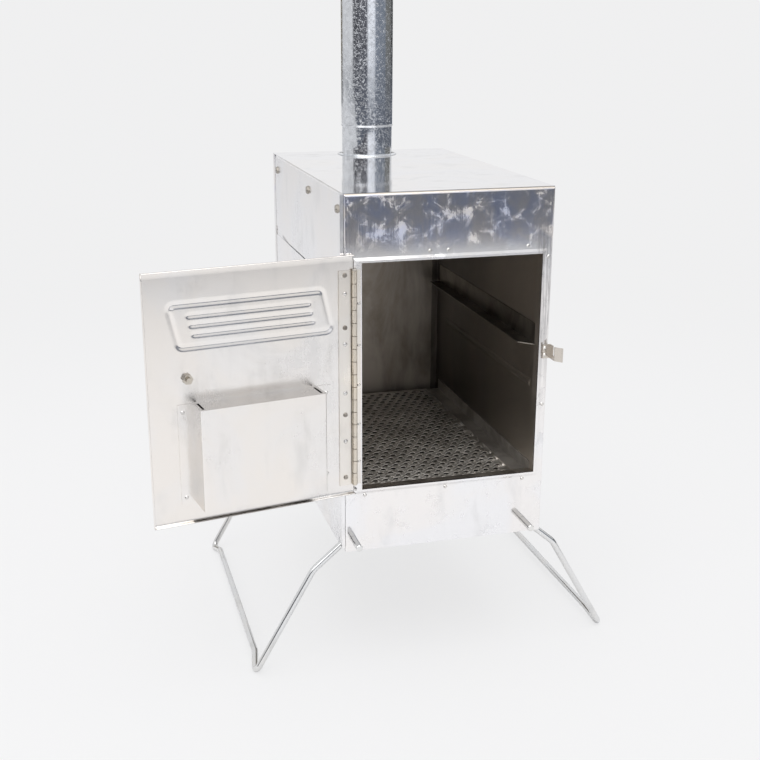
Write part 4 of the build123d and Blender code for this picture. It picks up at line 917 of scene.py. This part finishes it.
tree.links.new(mix.outputs[0], floor_output.inputs["Surface"])
floor_mesh.materials.append(material)
print("floor", FLOOR_RIGHT - FLOOR_LEFT, "x", FLOOR_BACK - FLOOR_FRONT, "m")

# %% [markdown]
# Polished sheet shows the room more than itself, so the room matters as much as the metal. A photographed
# surrounding would need an image. Here the world is a ramp round the horizon, read by bearing: a pale wall on
# the left, a bright strip straight ahead of the door, bluish grey on the right, and dark between and behind.

# %% World
SIGHTS = [  # bearing in degrees from straight ahead of the door, and what stands there
    (-180, (0.16, 0.14, 0.10)), (-158, (0.20, 0.18, 0.14)), (-150, (0.78, 0.78, 0.79)), (-84, (0.86, 0.86, 0.87)),
    (-76, (0.10, 0.10, 0.11)), (-16, (0.13, 0.13, 0.15)), (-7, (1.15, 1.17, 1.22)), (18, (1.1, 1.12, 1.18)),
    (26, (0.28, 0.31, 0.37)), (72, (0.25, 0.28, 0.33)), (82, (0.22, 0.22, 0.21)), (116, (0.20, 0.20, 0.19)),
    (124, (0.06, 0.06, 0.06)), (160, (0.06, 0.06, 0.06)), (170, (0.16, 0.14, 0.10)), (180, (0.16, 0.14, 0.10)),
]
CEILING, GROUND, PLAIN = (0.93, 0.93, 0.94), (0.15, 0.165, 0.20), (0.86, 0.86, 0.87)
world = bpy.data.worlds.new("studio")
bpy.context.scene.world = world
world.use_nodes = True
sky = world.node_tree
sky.nodes.clear()
direction = add_node(sky, "ShaderNodeTexCoord").outputs["Generated"]
east, north, rise = split(sky, direction)
south = combine(sky, "MULTIPLY", north, -1.0)
bearing = remap(sky, combine(sky, "ARCTAN2", east, south), -math.pi, math.pi)
bearing.node.interpolation_type = "LINEAR"
around = add_node(sky, "ShaderNodeValToRGB", {"Fac": bearing})
stops = around.color_ramp.elements
while len(stops) < len(SIGHTS):
    stops.new(0.5)
for stop, (degrees, colour) in zip(stops, SIGHTS):
    stop.position = degrees / 360 + 0.5
    stop.color = (*colour, 1)
print("sights round the horizon:", len(stops))

# %% [markdown]
# Above, the room closes with a pale ceiling, which starts lower behind the stove, so that its top plate
# reflects it. Below the horizon it is dim. Light Path then shares the three answers out: the backdrop for the
# camera, the room for reflections, and an even pale light for everything else.

# %% What each ray sees
ceiling_start = remap(sky, north, 0.3, 0.6, 0.12, 0.0)
overhead = remap(sky, combine(sky, "SUBTRACT", rise, ceiling_start), 0.055, 0.095)
below = remap(sky, rise, -0.02, -0.09)
room = blend_colour(sky, overhead, around.outputs["Color"], CEILING)
room = blend_colour(sky, below, room, GROUND)
ray = add_node(sky, "ShaderNodeLightPath").outputs
mirrored = combine(sky, "ADD", ray["Is Glossy Ray"], ray["Is Transmission Ray"])
seen = blend_colour(sky, ray["Is Camera Ray"], blend_colour(sky, mirrored, PLAIN, room), BACKDROP)
backdrop = add_node(sky, "ShaderNodeBackground", {"Color": seen, "Strength": 1.0})
sky_output = sky.nodes.new("ShaderNodeOutputWorld")
sky.links.new(backdrop.outputs[0], sky_output.inputs["Surface"])
print("world nodes:", len(sky.nodes))

# %% [markdown]
# Two soft square lamps: a large one above and in front, which gives the soft shadow under the stove, and a
# weaker one on the left that lifts the door's face. Both aim at the middle of the casing.

# %% Lamps
AIM = Vector((0, 0, 0.35))
LAMPS = [("softbox_over", (-0.3, -0.9, 2.8), 2.6, 34.0), ("softbox_left", (-2.2, -1.6, 1.8), 1.4, 9.0)]
for name, spot, size, power in LAMPS:
    light = bpy.data.lights.new(name, "AREA")
    light.shape = "SQUARE"
    light.size = size
    light.energy = power
    lamp = bpy.data.objects.new(name, light)
    bpy.context.scene.collection.objects.link(lamp)
    turn = (AIM - Vector(spot)).to_track_quat("-Z", "Y")
    lamp.matrix_world = Matrix.Translation(spot) @ turn.to_matrix().to_4x4()
    print(name, size, "m wide,", power, "W")

# %% [markdown]
# The camera stands where the photograph was taken from, a little left of the stove and looking down at it.
# Its place and directions come from the lines of the casing, whose edges must meet at the right far points.

# %% Camera
STAND = (-0.4310, -1.4422, 0.6132 + CASE_LOW)
LOOKING, RIGHTWARD = (0.2587, 0.9188, -0.2983), (0.9628, -0.2700, 0.0033)
camera_data = bpy.data.cameras.new("camera")
camera_data.sensor_width = 36.0
camera_data.lens = 55.39
camera = bpy.data.objects.new("camera", camera_data)
bpy.context.scene.collection.objects.link(camera)
forward = Vector(LOOKING).normalized()
rightward = Vector(RIGHTWARD)
rightward = (rightward - forward * rightward.dot(forward)).normalized()
upward = rightward.cross(forward)
view = Matrix((rightward, upward, -forward)).transposed().to_4x4()
camera.matrix_world = Matrix.Translation(STAND) @ view
bpy.context.scene.camera = camera
bpy.context.scene.view_settings.view_transform = "Standard"
print("camera at", [round(v, 3) for v in camera.location])
